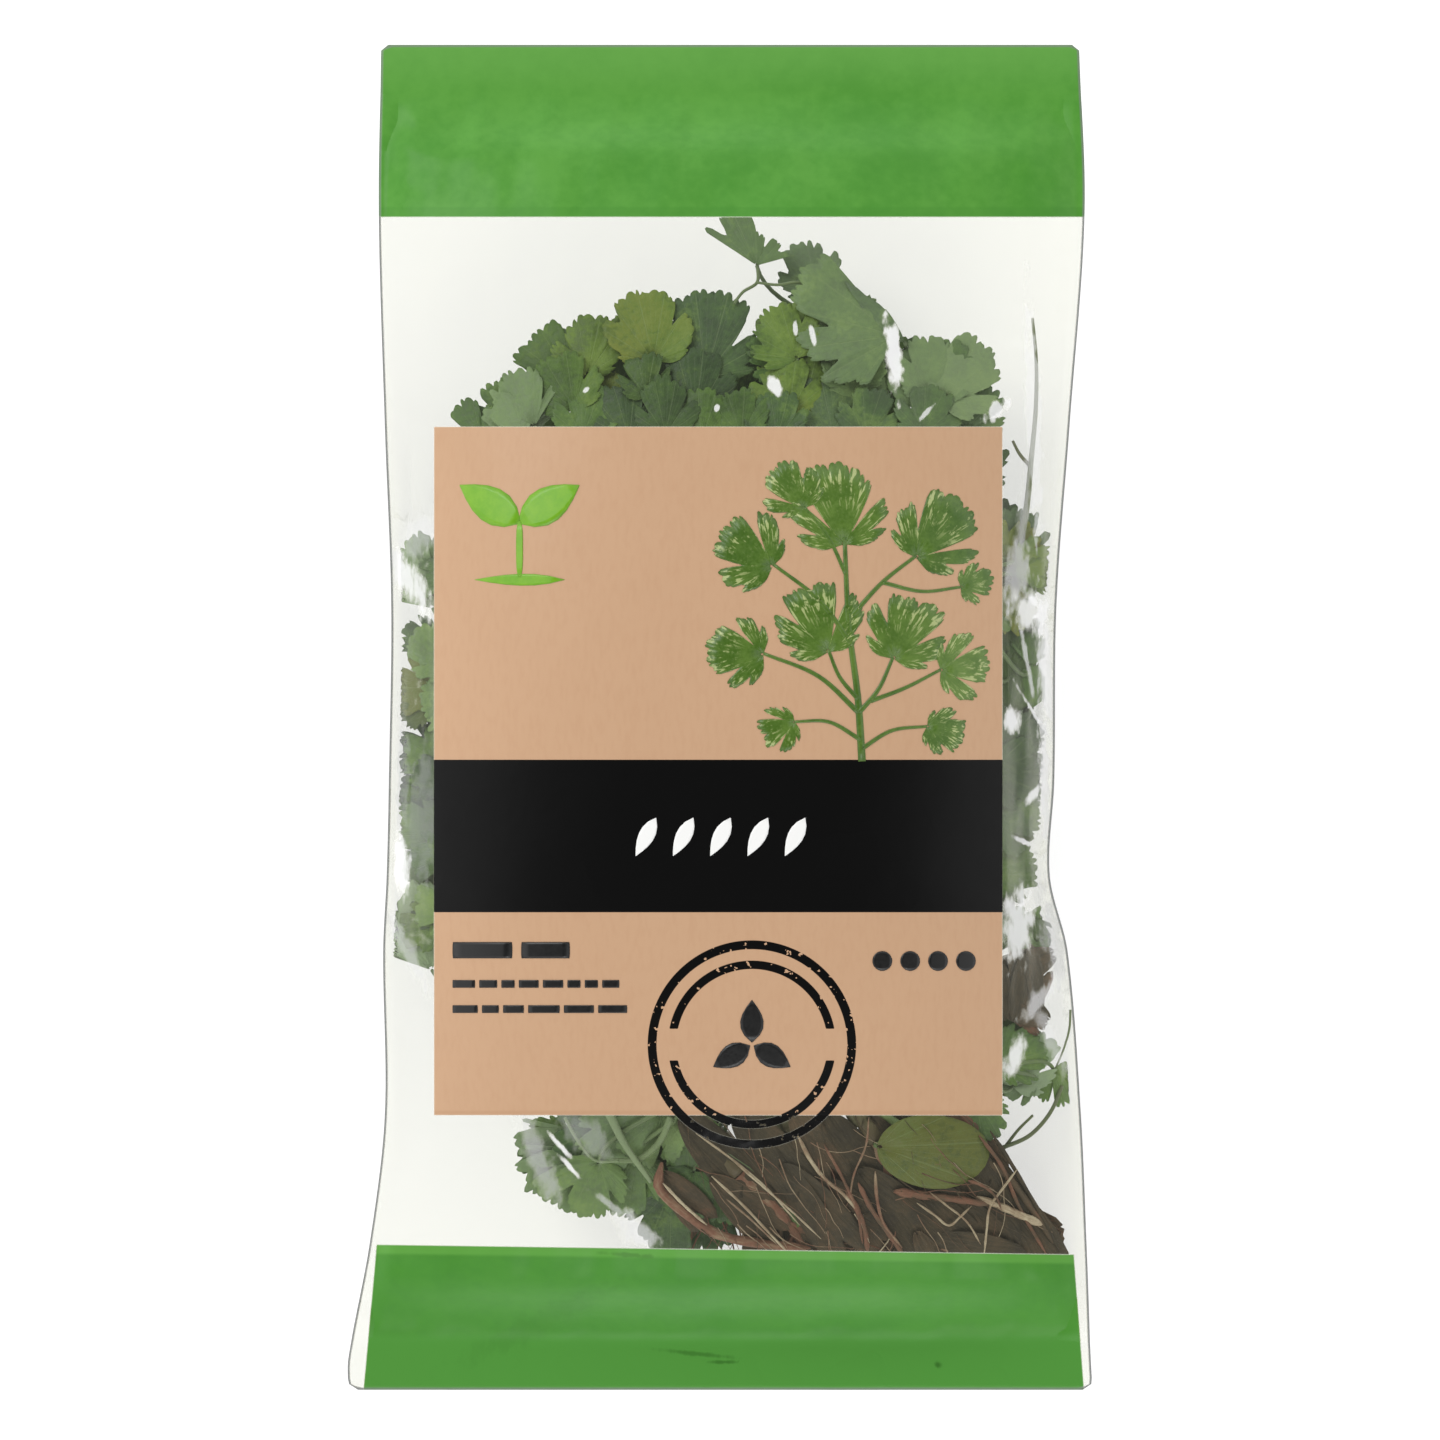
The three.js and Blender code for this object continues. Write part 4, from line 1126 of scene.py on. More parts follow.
# One plant's leaves, as a solid of the frame has them, and then its smaller and landmark leaves.
def greenPiece(number, plant, draw):
    piece = newPiece()
    draws = np.random.default_rng(400 + number)
    layer = plant[0]
    fine = layer >= 2
    crown = [crownPoint(plant, s * stalk["crownLength"]) for s in np.linspace(0, 1, 9)]
    crown = np.array([(x, y, inside(x, y, (layer + 0.5) / layers)) for x, y in crown])
    crownRadii = stalk["crownRadius"] * np.array([1, 1.03, 1, 0.96, 0.9, 0.85, 0.78, 0.68, 0.54])
    addTube(piece, crown, crownRadii, 12, (0.5, 0.1, 0.0), np.linspace(2.0, 1.7, 9))
    paths = []
    for i, row in enumerate(plant[3]):
        t = (layer + mix(0.2, 0.8, i / (len(plant[3]) - 1))) / layers
        path, radii = stalkPath(plant, row, t, stalk["steps"])
        coarse, _ = stalkPath(plant, row, t, stalk["solidSteps"])  # what the solids' leaflets sit on
        paths.append((path, t))
        blush = 1 + 0.75 * np.clip(1 - 4 * np.linspace(0, 1, len(path)), 0, 1)
        addTube(piece, path, radii, stalk["sides"], (row[5], draws.uniform(0.05, 0.3), 0.0), blush)
        shade = deepShade * (1 - t)
        for foot, heading, stem, length, tilts in leafletsOf(plant, row, coarse, draw):
            base = moved(foot[0], foot[1], heading, stem)
            for (owner, rough), scale in tucked.items():
                if owner == number and i == 0 and abs(heading - rough) < 20:
                    length *= scale
            look = (np.clip(row[5] + draws.uniform(-0.12, 0.12), 0, 1),
                    row[6] + draws.uniform(-0.1, 0.1) - shade, draws.uniform())
            if row[4] > 0:  # the oval leaf, with no side leaflets, is one of the seen ones
                addBlade(piece, base, heading, length, t, look, tilts, draws, "fan", fine)
            addStem(piece, bend(foot, heading, base, heading, 4, stem / 3), t, t, 0.42, look)
    # small leaves up the stalks
    for _ in range(smallLeaf["count"]):
        path, t = paths[draws.integers(len(paths))]
        i = int(draws.uniform(*smallLeaf["share"]) * (len(path) - 1))
        step = path[i + 1] - path[i]
        hand = draws.choice([-1, 1])
        turn = hand * draws.uniform(*smallLeaf["turn"])
        heading = math.degrees(math.atan2(step[1], step[0])) + turn
        stem, length = draws.uniform(*smallLeaf["stem"]), draws.uniform(*smallLeaf["length"])
        base = moved(path[i][0], path[i][1], heading, stem)
        tip = moved(*base, heading, length)
        if (room(*tip) < smallLeaf["leastRoom"] or tip[1] < smallLeaf["lowest"]
                or ownSide(plant, *base) < smallLeaf["offDivide"]):
            continue
        look = (draws.uniform(*smallLeaf["tone"]),
                draws.uniform(*smallLeaf["light"]) - deepShade * (1 - t), draws.uniform())
        tilts = draws.uniform(-smallLeaf["tilt"], smallLeaf["tilt"], 2)
        level = t + draws.uniform(-smallLeaf["spread"], smallLeaf["spread"])
        addBlade(piece, base, heading, length, level, look, tilts, draws, "fan", False, 0.2)
        bent = bend(path[i], heading - 20 * hand, base, heading, 6, stem / 3)
        addStem(piece, bent, t, level, 0.4, look)
    # leaves seen through the clear film
    for x, y, heading, length, t, tone, light, kind in rowsOf(seenLeaves, number):
        x, y = placeFor(x, y, inside(x, y, t))
        base = moved(x, y, heading, -0.5 * length)
        look = (tone, light, draws.uniform())
        tilts = draws.uniform(-0.06, 0.06, 2)
        addBlade(piece, base, heading, length, t, look, tilts, draws, kind, True, 0.03, 1.3,
                 blade["fineTooth"])
        ends = [(np.hypot(p[0] - base[0], p[1] - base[1]), k, j) for k, (path, _) in enumerate(paths)
                for j, p in enumerate(path[4:-2])]
        ends = [e for e in ends if e[0] > 9]
        gap, k, j = min(ends)
        path, level = paths[k]
        near = path[j + 4]
        towards = math.degrees(math.atan2(base[1] - near[1], base[0] - near[0]))
        stemPath = bend(near, towards, base, heading, 12, gap * 0.33)
        addStem(piece, stemPath, level, t - 0.01, np.linspace(0.62, 0.42, 12),
                (tone * 0.6, light * 0.5, 0.5), late=3.0)
    for first, last, tone, light, withered, t, places in rowsOf(seenStems, number):
        line = smoothPath([placeFor(x, y, inside(x, y, t)) for x, y in places], 30)
        radii = np.linspace(first, last, 30)
        addStem(piece, line, t, t - 0.05, radii, (tone, light, 0.5), kind=1 + withered)
    made = meshObject(f"plant_{number:02d}_greens", piece, leafLook)
    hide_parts(f"plant_{number:02d}_leaves")


# Strands and stems that show in the foot window, as they are seen: plant, radius at both ends,
# tone, height between the walls, and points. Tone runs from dark brown over reddish to pale tan.
seenStrands = [
    (7, 0.50, 0.35, 0.85, 0.95, [(17.2, -93), (20.3, -98.9), (23.5, -102.9), (27.5, -106.2), (30.6, -110)]),
    (7, 0.70, 0.60, 0.60, 0.93, [(27.8, -105), (30.2, -109), (32, -114), (32.8, -119)]),
    (8, 0.60, 0.50, 0.62, 0.94, [(30.6, -103.5), (33.4, -109), (37, -114.2), (41, -120)]),
    (8, 0.40, 0.30, 0.75, 0.95, [(34.4, -101), (34.8, -107), (36, -112), (40.4, -118)]),
    (5, 0.25, 0.20, 0.95, 0.94, [(-5.5, -92.5), (1.5, -97.5), (9, -103.5), (17.7, -113)]),
    (9, 0.32, 0.25, 0.88, 0.95, [(-2, -102), (5, -108.5), (12.1, -116), (16, -120)]),
    (9, 1.25, 0.95, 0.66, 0.90,
     [(-13, -99), (-13.8, -104), (-8.6, -109.5), (-1, -114.8), (8.8, -117), (20, -118)]),
    (9, 0.35, 0.30, 0.97, 0.94, [(-12.8, -103.6), (-8, -108.6), (-3, -112.9)]),
    (10, 1.10, 0.70, 0.60, 0.93, [(38.5, -105.4), (46, -106.4), (54, -107.4), (60, -108.4)]),
    (10, 0.75, 0.95, 0.90, 0.91, [(57, -106.6), (62, -108.6), (67, -110.8), (72, -113)]),
    (8, 0.30, 0.25, 0.92, 0.96, [(66, -100.5), (63, -104.5), (59.9, -109.1), (59.2, -114), (58.6, -120)]),
    (8, 0.28, 0.24, 0.86, 0.95, [(43.7, -108), (47.5, -110.6), (51, -113), (53.4, -111), (55.9, -108.6)]),
    (8, 0.50, 0.40, 0.30, 0.90, [(60, -92), (64.5, -99), (69.5, -107.6), (75.5, -119)]),
    (8, 0.45, 0.35, 0.60, 0.93, [(57.5, -93), (62, -99), (66.5, -109), (72.5, -119.5)]),
    (7, 0.26, 0.2, 0.92, 0.95, [(2.8, -98.6), (9.5, -104.4), (16, -110), (22.4, -116)]),
    (9, 0.24, 0.2, 0.80, 0.95, [(1.4, -107.2), (6, -111), (12.6, -117.2)]),
    (8, 0.24, 0.2, 0.75, 0.96, [(33, -89), (32.4, -95), (29.6, -102), (28.6, -108)]),
    (8, 0.36, 0.3, 0.62, 0.95, [(23, -95), (27.4, -103), (30.4, -110), (31.6, -117)]),
    (10, 0.25, 0.2, 0.85, 0.96, [(46.5, -105.6), (50.6, -108.8), (54.6, -112), (58, -117.4)]),
    (10, 0.4, 0.25, 0.6, 0.95, [(55, -103), (58, -104), (61, -106.4), (62.6, -109.6)]),
    (10, 1.00, 0.80, 0.35, 0.84, [(50, -102), (56, -110), (62, -120)]),
    (10, 1.00, 0.60, 0.45, 0.88, [(59, -98), (64.5, -103), (69, -109), (74, -117)]),
]
# Broad withered skins there: plant, middle, heading, length, height between the walls and tone.
seenSkins = [
    (9, 0.0, -98.0, -48, 25, 0.99, 0.30), (9, 7.0, -110.0, -40, 24, 0.97, 0.34),
    (9, 11.5, -97.0, -52, 26, 1.01, 0.27), (10, 22.0, -110.0, -50, 27, 0.99, 0.32),
    (10, 21.5, -95.5, -60, 22, 1.00, 0.37), (10, 31.0, -100.0, -58, 28, 0.98, 0.30),
    (10, 40.0, -110.0, -46, 27, 0.98, 0.27), (10, 39.0, -99.0, -60, 24, 0.95, 0.33),
    (10, 50.0, -105.0, -48, 26, 0.95, 0.36), (10, 57.0, -96.0, -52, 23, 0.94, 0.44),
    (10, 61.0, -104.0, -57, 28, 0.97, 0.28), (10, 67.2, -112.4, -57, 24, 0.95, 0.36),
    (10, 54.5, -112.0, -40, 24, 0.97, 0.35), (9, -7.0, -108.0, -50, 18, 0.95, 0.42),
    (9, 15.0, -107.0, -47, 24, 0.95, 0.30), (10, 30.0, -111.0, -44, 24, 0.95, 0.36),
    # and in the right strip
    (8, 66.6, -56.0, 200, 17, 0.94, 0.36), (8, 68.4, -59.0, 105, 14, 0.96, 0.40),
    (8, 66.0, -64.0, 150, 16, 0.95, 0.36), (8, 69.6, -60.5, 64, 12, 0.92, 0.52),
    (8, 64.6, -60.0, 85, 15, 0.98, 0.26), (8, 67.2, -65.0, 130, 13, 0.90, 0.46),
]
skin = dict(count=8, turn=50, back=(-6, 4), tone=(0.25, 0.55), length=(15, 23), spread=0.07,
            tilt=0.15)
hair = dict(count=38, radius=(0.12, 0.4), length=(12, 30), wander=26, turn=(8, 62), steps=7,
            spread=0.11, tone=(0.55, 0.2), taper=0.45, stout=1.8)
surfaceHair = dict(count=30, radius=(0.07, 0.17), x={-1: (-8, 24), 1: (20, 66)}, y=(-115, -86),
                   heading=(-52, 24), length=(7, 20), steps=6, wander=16, tone=(0.35, 0.92),
                   level=1.03, taper=0.5)
seenLift = 0.08  # how far seen strands are raised
# The heap of roots ends at a slanted line to the right: its x where y is 0, and how it slopes.
heapEdge = (4.8, -0.61)


def wander(x, y, heading, length, steps, draws, turn):
    points = [(x, y)]
    for _ in range(steps):
        heading += draws.uniform(-turn, turn)
        x, y = moved(x, y, heading, length / steps)
        if room(x, y) < 4.5 or x > heapEdge[0] + heapEdge[1] * y or y < -124:
            break
        points.append((x, y))
    return np.array(points)


def smoothPath(points, steps):
    points = np.asarray(points, float)
    gone = np.concatenate([[0], np.cumsum(np.linalg.norm(np.diff(points, axis=0), axis=1))])
    slope = np.gradient(points, gone, axis=0)
    at = np.linspace(0, gone[-1], steps)
    i = np.clip(np.searchsorted(gone, at) - 1, 0, len(points) - 2)
    span = (gone[i + 1] - gone[i])[:, None]
    s = ((at - gone[i]) / (gone[i + 1] - gone[i]))[:, None]
    return eased(s, points[i], span * slope[i], points[i + 1], span * slope[i + 1])


def rootPiece(number, plant, draw):
    piece = newPiece()
    draws = np.random.default_rng(700 + number)
    layer = plant[0]
    level = (layer + 0.5) / layers
    heading = crownHeading(plant) + 180
    step = root["length"] / root["steps"] * (0.85 + 0.3 * draw())
    points = [crownPoint(plant, -root["gap"])]
    for _ in range(root["steps"]):
        heading += root["wander"] * (draw() - 0.5)
        x, y = moved(*points[-1], heading, step)
        for _ in range(14):
            if ownSide(plant, x, y) > 1 and room(x, y) > leastRoom[layer]:
                break
            if math.hypot(x - points[-1][0], y - points[-1][1]) <= 2:
                break
            x, y = mix(x, points[-1][0], 0.14), mix(y, points[-1][1], 0.14)
        points.append((float(x), float(y)))
    flat = smoothPath(points, root["rings"])
    s = np.linspace(0, 1, root["rings"])
    radii = mix(stalk["crownRadius"] * 0.95, root["tip"] * 0.7, s**0.7)
    radii = radii * (1 + root["uneven"] * np.sin(s * 40 + number))
    z = withinLayer(flat[:, 0], flat[:, 1], layer, radii, inside(flat[:, 0], flat[:, 1], level))
    tones = np.stack([mix(0.72, 0.45, s), 0 * s, 0 * s + draws.uniform()], 1)
    addTube(piece, np.column_stack([flat, z]), radii, root["sides"], tones, 2)
    # broad withered leaves and skins between the roots
    for _ in range(skin["count"]):
        i = draws.integers(0, root["rings"] - 2)
        out = heading + draws.uniform(-skin["turn"], skin["turn"])
        base = moved(*flat[i], out, draws.uniform(*skin["back"]))
        look = (draws.uniform(*skin["tone"]), 0.0, draws.uniform())
        length = draws.uniform(*skin["length"])
        t = level + draws.uniform(-skin["spread"], skin["spread"])
        tilts = draws.uniform(-skin["tilt"], skin["tilt"], 2)
        addBlade(piece, base, out, length, t, look, tilts, draws, "skin", False)
    # rootlets
    for k in range(hair["count"]):
        i = draws.integers(0, root["rings"] - 2)
        out = heading + draws.choice([-1, 1]) * draws.uniform(*hair["turn"])
        length = draws.uniform(*hair["length"])
        line = wander(*flat[i], out, length, hair["steps"], draws, hair["wander"])
        if len(line) < 4:
            continue
        line = smoothPath(line, 14)
        radius = draws.uniform(*hair["radius"]) * (hair["stout"] if k < root["rootlets"] else 1)
        t = np.clip(level + draws.uniform(-hair["spread"], hair["spread"]), 0.03, 0.97)
        look = (np.clip(draws.normal(*hair["tone"]), 0.15, 1), 0.0, draws.uniform())
        addStem(piece, line, level, t, np.linspace(radius, radius * hair["taper"], 14), look, 5)
    for x, y, out, length, t, tone in rowsOf(seenSkins, number):
        x, y = placeFor(x, y, inside(x, y, t))
        for turn, beside in ((-7, -1.7), (6, 1.6)):
            heading = out + turn + draws.uniform(-4, 4)
            base = moved(*moved(x, y, heading, -0.5 * length), heading + 90, beside)
            look = (tone + draws.uniform(-0.05, 0.05), 0.0, draws.uniform())
            addBlade(piece, base, heading, length * draws.uniform(0.85, 1.1), t, look,
                     draws.uniform(-0.03, 0.03, 2), draws, "skin", True, 0.03, 2.5)
    for first, last, tone, t, places in rowsOf(seenStrands, number):
        t += seenLift
        line = smoothPath([placeFor(x, y, inside(x, y, t)) for x, y in places], 26)
        s = np.linspace(0, 1, 26)
        radii = mix(first, last, s) * (1 + 0.1 * np.sin(30 * s + tone * 9))
        radii = radii * np.clip(9 * np.minimum(s, 1 - s), 0.12, 1) ** 0.6
        addStem(piece, line, t, t, radii, (tone, 0.0, draws.uniform()), 8)
    # fine pale rootlets over the heap, against the front film
    for _ in range(surfaceHair["count"] if layer == layers - 1 else 0):
        x, y = draws.uniform(*surfaceHair["x"][plant[1]]), draws.uniform(*surfaceHair["y"])
        out, length = draws.normal(*surfaceHair["heading"]), draws.uniform(*surfaceHair["length"])
        line = wander(x, y, out, length, surfaceHair["steps"], draws, surfaceHair["wander"])
        if len(line) < 4 or x > heapEdge[0] + heapEdge[1] * y:
            continue
        radius = draws.uniform(*surfaceHair["radius"])
        look = (draws.uniform(*surfaceHair["tone"]), 0.0, draws.uniform())
        radii = np.linspace(radius, radius * surfaceHair["taper"], 12)
        t = surfaceHair["level"]
        addStem(piece, smoothPath(line, 12), t, t, radii, look, 5)
    made = meshObject(f"plant_{number:02d}_rootlets", piece, rootLook)
    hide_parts(f"plant_{number:02d}_root")


leafFinish = dict(
    blades=[(0.0, srgb(53, 76, 42)), (0.3, srgb(66, 94, 38)), (0.55, srgb(80, 108, 40)),
            (0.8, srgb(98, 122, 44)), (1.0, srgb(114, 121, 44))],
    pale=srgb(142, 160, 124),
    bloom=srgb(118, 144, 66),
    vein=srgb(118, 136, 88),
    stalk=srgb(104, 116, 82),
    blush=srgb(82, 66, 48),
    deep=srgb(22, 32, 18),
    specular=0.25,
    roughness=(0.42, 0.6),
    bump=(0.5, 0.0004),  # strength and depth
)


def leafMaterial():
    material, tree, shader = newMaterial("coriander leaf")
    tone, light, own = attribute(tree, "look")
    along, angle, kind = attribute(tree, "place")
    place = objectPlace(tree)
    uneven = mottled(tree, place, 110.0, 8.0)
    # painted shade: one half of a blade is a little yellower than the other, which is a little darker, as
    # light falls on a pleated blade
    halfShade = times(tree, angle, times(tree, minus(tree, own, 0.5), 0.3))
    shifted = calc(tree, "MULTIPLY_ADD", minus(tree, uneven["Tone"], 0.5), 0.2, tone)
    shifted = plus(tree, shifted, halfShade)
    colour = colourRamp(tree, shifted, leafFinish["blades"])
    colour = blend(tree, times(tree, ramp(tree, uneven["Tone"], 0.5, 0.0), 0.32),
                   colour, leafFinish["deep"])
    colour = blend(tree, times(tree, ramp(tree, uneven["Tone"], 0.55, 1.0), 0.3),
                   colour, leafFinish["bloom"])
    colour = blend(tree, times(tree, light, 0.75), colour, leafFinish["pale"])
    # painted shade: lightness below 0 darkens a leaf towards the deep colour
    colour = blend(tree, times(tree, light, -1.0), colour, leafFinish["deep"])
    line = placeGroup(tree, veins, {"Along": along, "Angle": angle, "Count": 4.5, "Width": 0.09,
                                    "Wander": times(tree, own, 0.2)})["Line"]
    fineLine = placeGroup(tree, veins, {"Along": along, "Angle": angle, "Count": 17.0, "Width": 0.2,
                                        "Wander": own})["Line"]
    lines = plus(tree, times(tree, line, 0.2), times(tree, fineLine, 0.08))
    isStalk = ramp(tree, kind, 0.4, 0.6)
    onBlade = minus(tree, 1.0, isStalk)
    colour = blend(tree, times(tree, lines, onBlade), colour, leafFinish["vein"])
    colour = blend(tree, times(tree, isStalk, 0.5), colour, leafFinish["stalk"])
    colour = blend(tree, ramp(tree, kind, 1.0, 2.0, 0.0, 0.85), colour, leafFinish["blush"])
    fill(tree, shader.inputs["Base Color"], colour)
    shader.inputs["Specular IOR Level"].default_value = leafFinish["specular"]
    roughness = ramp(tree, uneven["Height"], 0.3, 0.7, *leafFinish["roughness"])
    fill(tree, shader.inputs["Roughness"], roughness)
    height = minus(tree, uneven["Height"], times(tree, lines, onBlade))
    addBump(tree, shader, height, *leafFinish["bump"])
    return material


rootFinish = dict(
    tones=[(0.0, srgb(26, 23, 16)), (0.3, srgb(63, 57, 42)), (0.5, srgb(84, 71, 53)),
           (0.66, srgb(114, 80, 62)), (0.82, srgb(136, 118, 93)), (1.0, srgb(178, 167, 138))],
    specular=0.15,
    roughness=(0.6, 0.85),
    bump=(0.6, 0.0004),
)


def rootMaterial():
    material, tree, shader = newMaterial("coriander root")
    tone, _, own = attribute(tree, "look")
    along, angle, _ = attribute(tree, "place")
    place = objectPlace(tree)
    uneven = mottled(tree, place, 160.0, 6.0)
    fibres = noise(tree, addNode(tree, "CombineXYZ", {0: along, 1: angle, 2: own}).outputs[0],
                   1.0, 3.0, (0.25, 2.2, 5.0))
    shift = plus(tree, times(tree, minus(tree, uneven["Tone"], 0.5), 0.2),
                 times(tree, minus(tree, fibres, 0.5), 0.35))
    colour = colourRamp(tree, plus(tree, tone, shift), rootFinish["tones"])
    fill(tree, shader.inputs["Base Color"], colour)
    shader.inputs["Specular IOR Level"].default_value = rootFinish["specular"]
    roughness = ramp(tree, uneven["Tone"], 0.0, 1.0, *rootFinish["roughness"])
    fill(tree, shader.inputs["Roughness"], roughness)
    height = plus(tree, fibres, times(tree, uneven["Height"], 0.5))
    addBump(tree, shader, height, *rootFinish["bump"])
    return material


# The printed drawing and marks are thin ink on the front film.
inkLook = dict(lift=(0.08, 0.15), green=srgb(58, 92, 14), light=srgb(98, 128, 50),
               bare=srgb(174, 184, 124), roughness=(0.32, 0.42), steps=7, stemSteps=18,
               rings=[0.04, 0.3, 0.55, 0.78, 1.0], teeth=(4, 1.3, 1.8), firstHeight=45.0)

# The drawing: leaflets as x, y, heading and length, and stems as points and widths.
drawnLeaves = [
    (27.5, 38.5, 96, 19), (11.5, 33.5, 146, 15), (43.5, 35.5, 52, 16.5), (18.5, 46.5, 122, 12),
    (9.5, 14.0, 172, 14), (24.0, 14.5, 108, 17), (38.5, 13.0, 66, 16), (49.0, 10.5, 8, 12.5),
    (16.5, -1.0, 205, 9), (46.0, -2.0, -18, 9), (53.5, 29.0, 12, 8),
]
drawnStems = [
    ([(31.5, -9.8), (30.6, 4), (28.6, 20), (27.6, 40)], 0.85, 0.45),
    ([(29.4, 16), (22, 26), (11.8, 34)], 0.55, 0.35), ([(28.8, 22), (36, 30), (43.6, 36)], 0.55, 0.35),
    ([(27.8, 32), (24, 40), (18.5, 47)], 0.45, 0.3), ([(30.8, 1), (22, 9), (9.6, 14.2)], 0.6, 0.35),
    ([(30.6, 4), (26.5, 9), (24, 15)], 0.5, 0.35), ([(30.8, 1), (35, 6), (38.4, 13.4)], 0.55, 0.35),
    ([(33.4, 3.6), (41, 6.5), (49, 10.6)], 0.5, 0.3), ([(31.2, -5), (24, -1), (16.4, -1)], 0.5, 0.3),
    ([(31.4, -7), (38, -3), (46, -2)], 0.5, 0.3), ([(36, 30), (45, 28), (53.6, 29)], 0.45, 0.3),
]


# A place on the front film where it is seen at x, y.
def onFilm(x, y, lift):
    px, py = placeFor(x, y, inkLook["firstHeight"])
    for _ in range(3):
        px, py = placeFor(x, y, filmHeight(px, py, "front"))
    return np.stack([px, py, filmHeight(px, py, "front") + lift], -1)


def addInk(piece, x, y, look, place):
    low, high = inkLook["lift"]
    addSheet(piece, onFilm(x, y, high), onFilm(x, y, low), look, place)


def inkStem(piece, points, first, last):
    line = smoothPath(points, inkLook["stemSteps"])
    step = np.gradient(line, axis=0)
    step /= np.linalg.norm(step, axis=1, keepdims=True)
    wide = np.linspace(first, last, inkLook["stemSteps"])[:, None]
    beside = np.linspace(-1, 1, 3)[None]
    x = line[:, :1] - step[:, 1:] * wide * beside
    y = line[:, 1:] + step[:, :1] * wide * beside
    addInk(piece, x, y, (0.2, 0, 0), (0, 0, 1))


def drawnSprig(material):
    piece = newPiece()
    draws = np.random.default_rng(12)
    for points, first, last in drawnStems:
        inkStem(piece, points, first, last)
    for x, y, heading, length in drawnLeaves:
        angle, reach = bladeRim("fan", length, draws, *inkLook["teeth"])
        share = np.array(inkLook["rings"])[:, None]
        px, py = moved(x, y, heading + angle[None], share * reach[None] * length)
        place = np.stack([share + 0 * px, (angle[None] + 0 * px) / 100, 0 * px], -1)
        addInk(piece, px, py, (draws.uniform(), 0, draws.uniform()), place)
    made = meshObject("print_sprig", piece, material, rounded=False)


def sprigMaterial():
    material, tree, shader = newMaterial("printed green")
    tone, _, own = attribute(tree, "look")
    along, angle, kind = attribute(tree, "place")
    place = objectPlace(tree)
    uneven = mottled(tree, place, 260.0, 6.0)
    # flecks left bare between the strokes, most of them towards the rim
    towards = addNode(tree, "CombineXYZ", {0: along, 1: angle, 2: times(tree, own, 9.0)}).outputs[0]
    flecks = ramp(tree, noise(tree, towards, 1.0, 3.0, (4.5, 26.0, 1.0)), 0.53, 0.6)
    towardsRim = ramp(tree, along, 0.3, 0.8)
    patchy = ramp(tree, uneven["Tone"], 0.15, 0.6)
    amount = times(tree, flecks, towardsRim, patchy, minus(tree, 0.9, kind))
    shade = calc(tree, "MULTIPLY_ADD", tone, 0.4, times(tree, uneven["Tone"], 0.6))
    colour = blend(tree, shade, inkLook["green"], inkLook["light"])
    colour = blend(tree, amount, colour, inkLook["bare"])
    fill(tree, shader.inputs["Base Color"], colour)
    fill(tree, shader.inputs["Roughness"], ramp(tree, uneven["Height"], 0.3, 0.7, *inkLook["roughness"]))
    return material


# Marks: a bar, a lozenge, a disc or a leaf, drawn on a square patch of points.
def addMark(piece, shape, x, y, width, height, turn, colour):
    side = np.linspace(-1, 1, inkLook["steps"])
    u, v = np.meshgrid(side, side, indexing="ij")
    if shape == "disc":
        u, v = u * np.sqrt(1 - v**2 / 2), v * np.sqrt(1 - u**2 / 2)
    elif shape == "lozenge":
        u, v = (u - v) / 2, (u + v) / 2
    elif shape == "leaf":
        v = v * (1 - 0.97 * u**2) * (1 + 0.25 * u)
    elif shape == "bar":
        u, v = u * (1 - 0.06 * v**4 * height / width), v
    u, v = u * width / 2, v * height / 2
    c, s = math.cos(radians(turn)), math.sin(radians(turn))
    addInk(piece, x + u * c - v * s, y + u * s + v * c, (colour, 0, 0), (0, 0, 0))


# Rows of dashes, about as long and as heavy as lines of small print.
def addDashes(piece, left, right, y, height, draws):
    x = left
    while x < right - height:
        width = min(draws.uniform(1.6, 4.2) * height, right - x)
        addMark(piece, "bar", x + width / 2, y, width, height, 0, 1)
        x += width + 0.55 * height


def printedMarks(material):
    piece = newPiece()
    draws = np.random.default_rng(5)
    # a row of seeds on the black band
    for i in range(5):
        addMark(piece, "leaf", -16.6 + 8.3 * i, -26.6, 9.6, 3.5, 62, 0)
    # small print, as dashes
    addDashes(piece, -59.6, -33.5, -51.8, 3.6, draws)
    addDashes(piece, -59.6, -22.5, -59.3, 1.7, draws)
    addDashes(piece, -59.6, -18.8, -64.9, 1.7, draws)
    for i in range(4):
        addMark(piece, "disc", 36.0 + 6.2 * i, -54.2, 4.4, 4.4, 0, 1)
    # three seed leaves inside the stamp
    cx, cy = printing["stampCentre"]
    for turn in (90, 210, 330):
        addMark(piece, "leaf", cx + 5.2 * math.cos(radians(turn)), cy + 5.2 * math.sin(radians(turn)),
                9.4, 5.2, turn + 180, 1)
    # a seedling in the corner
    addMark(piece, "leaf", -51.2, 47.4, 16.0, 8.0, -32, 2)
    addMark(piece, "leaf", -38.2, 47.4, 16.0, 8.0, 212, 2)
    addMark(piece, "bar", -44.7, 37.4, 1.5, 12.5, 0, 2)
    addMark(piece, "leaf", -44.7, 30.6, 20.0, 2.6, 0, 2)
    made = meshObject("print_marks", piece, material, rounded=False)


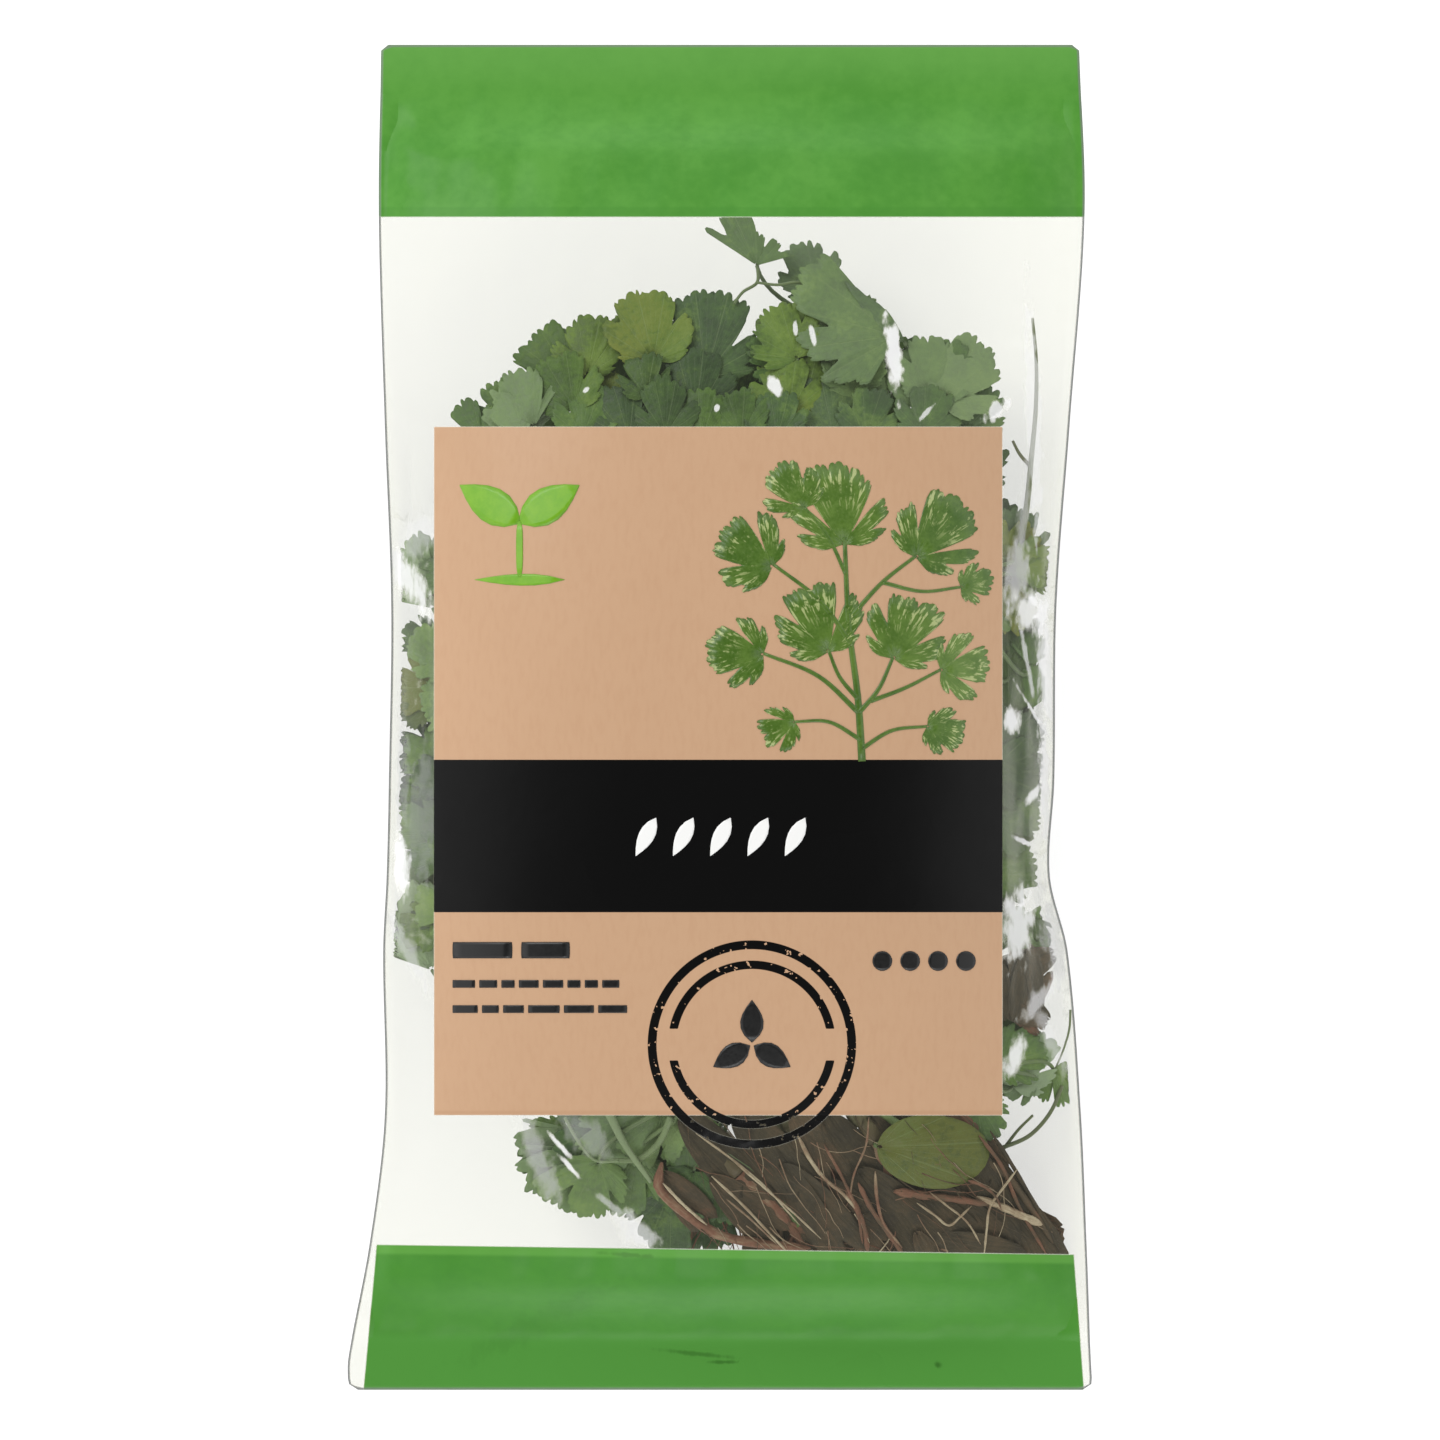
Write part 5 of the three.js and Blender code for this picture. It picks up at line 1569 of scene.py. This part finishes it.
def marksMaterial():
    material, tree, shader = newMaterial("printed marks")
    which, _, _ = attribute(tree, "look")
    place = objectPlace(tree)
    uneven = mottled(tree, place, 300.0, 5.0)
    isDark = between(tree, which, 0.5, 1.5, 0.1)
    isGreen = ramp(tree, which, 1.4, 1.6)
    colour = blend(tree, isDark, srgb(244, 244, 242), printing["black"])
    brightGreen = blend(tree, uneven["Tone"], srgb(104, 164, 18), srgb(120, 174, 30))
    colour = blend(tree, isGreen, colour, brightGreen)
    fill(tree, shader.inputs["Base Color"], colour)
    fill(tree, shader.inputs["Roughness"], ramp(tree, uneven["Height"], 0.3, 0.7, *inkLook["roughness"]))
    return material


stage = dict(
    floor=srgb(158, 158, 158),
    roughness=0.8,
    glow=0.8,  # the floor is a lit table, so shadows stay faint
    overhead=0.12,  # the sky's strength straight up, and level with the table
    around=1.22,
    lamps=[((-0.9, 0.9, 1.2), 1.0, 12.0), ((0.3, -1.5, 1.1), 1.0, 8.0)],  # place, size, watts
)


def addStage():
    mesh = bpy.data.meshes.new("floor")
    mesh.from_pydata([(-3, -3, 0), (3, -3, 0), (3, 3, 0), (-3, 3, 0)], [], [(0, 1, 2, 3)])
    floor = bpy.data.objects.new("floor", mesh)
    scene.collection.objects.link(floor)
    material, tree, shader = newMaterial("studio floor")
    shader.inputs["Base Color"].default_value = stage["floor"]
    shader.inputs["Roughness"].default_value = stage["roughness"]
    shader.inputs["Emission Color"].default_value = (1, 1, 1, 1)
    shader.inputs["Emission Strength"].default_value = stage["glow"]
    mesh.materials.append(material)
    world = bpy.data.worlds.new("studio")
    world.use_nodes = True
    tree = world.node_tree
    height = split(tree, addNode(tree, "TexCoord").outputs["Generated"])[2]
    strength = ramp(tree, height, 0.45, 0.98, stage["around"], stage["overhead"])
    fill(tree, tree.nodes["Background"].inputs["Strength"], strength)
    tree.nodes["Background"].inputs["Color"].default_value = (1, 1, 1, 1)
    scene.world = world
    for i, (place, size, watts) in enumerate(stage["lamps"]):
        data = bpy.data.lights.new(f"softbox_{i + 1}", "AREA")
        data.shape = "DISK"
        data.size = size
        data.energy = watts
        lamp = bpy.data.objects.new(f"softbox_{i + 1}", data)
        lamp.location = place
        aim = np.array(place)
        lamp.rotation_euler = (math.atan2(math.hypot(aim[0], aim[1]), aim[2]), 0,
                               math.atan2(aim[1], aim[0]) + math.pi / 2)
        scene.collection.objects.link(lamp)
    scene.view_settings.view_transform = "Standard"


addCamera()
addStage()
print("stage and camera are set")
leafLook, rootLook = leafMaterial(), rootMaterial()
filmSheet("film_front_sheet", "front", filmMaterial("printed film, front", True))
filmSheet("film_back_sheet", "back", filmMaterial("printed film, back", False))
print("film is made")
for number, plant in enumerate(plants, 1):
    draw = drawsFrom(100 + number)
    greenPiece(number, plant, draw)
    rootPiece(number, plant, draw)
print("plants are made")
drawnSprig(sprigMaterial())
printedMarks(marksMaterial())
print("print is made")
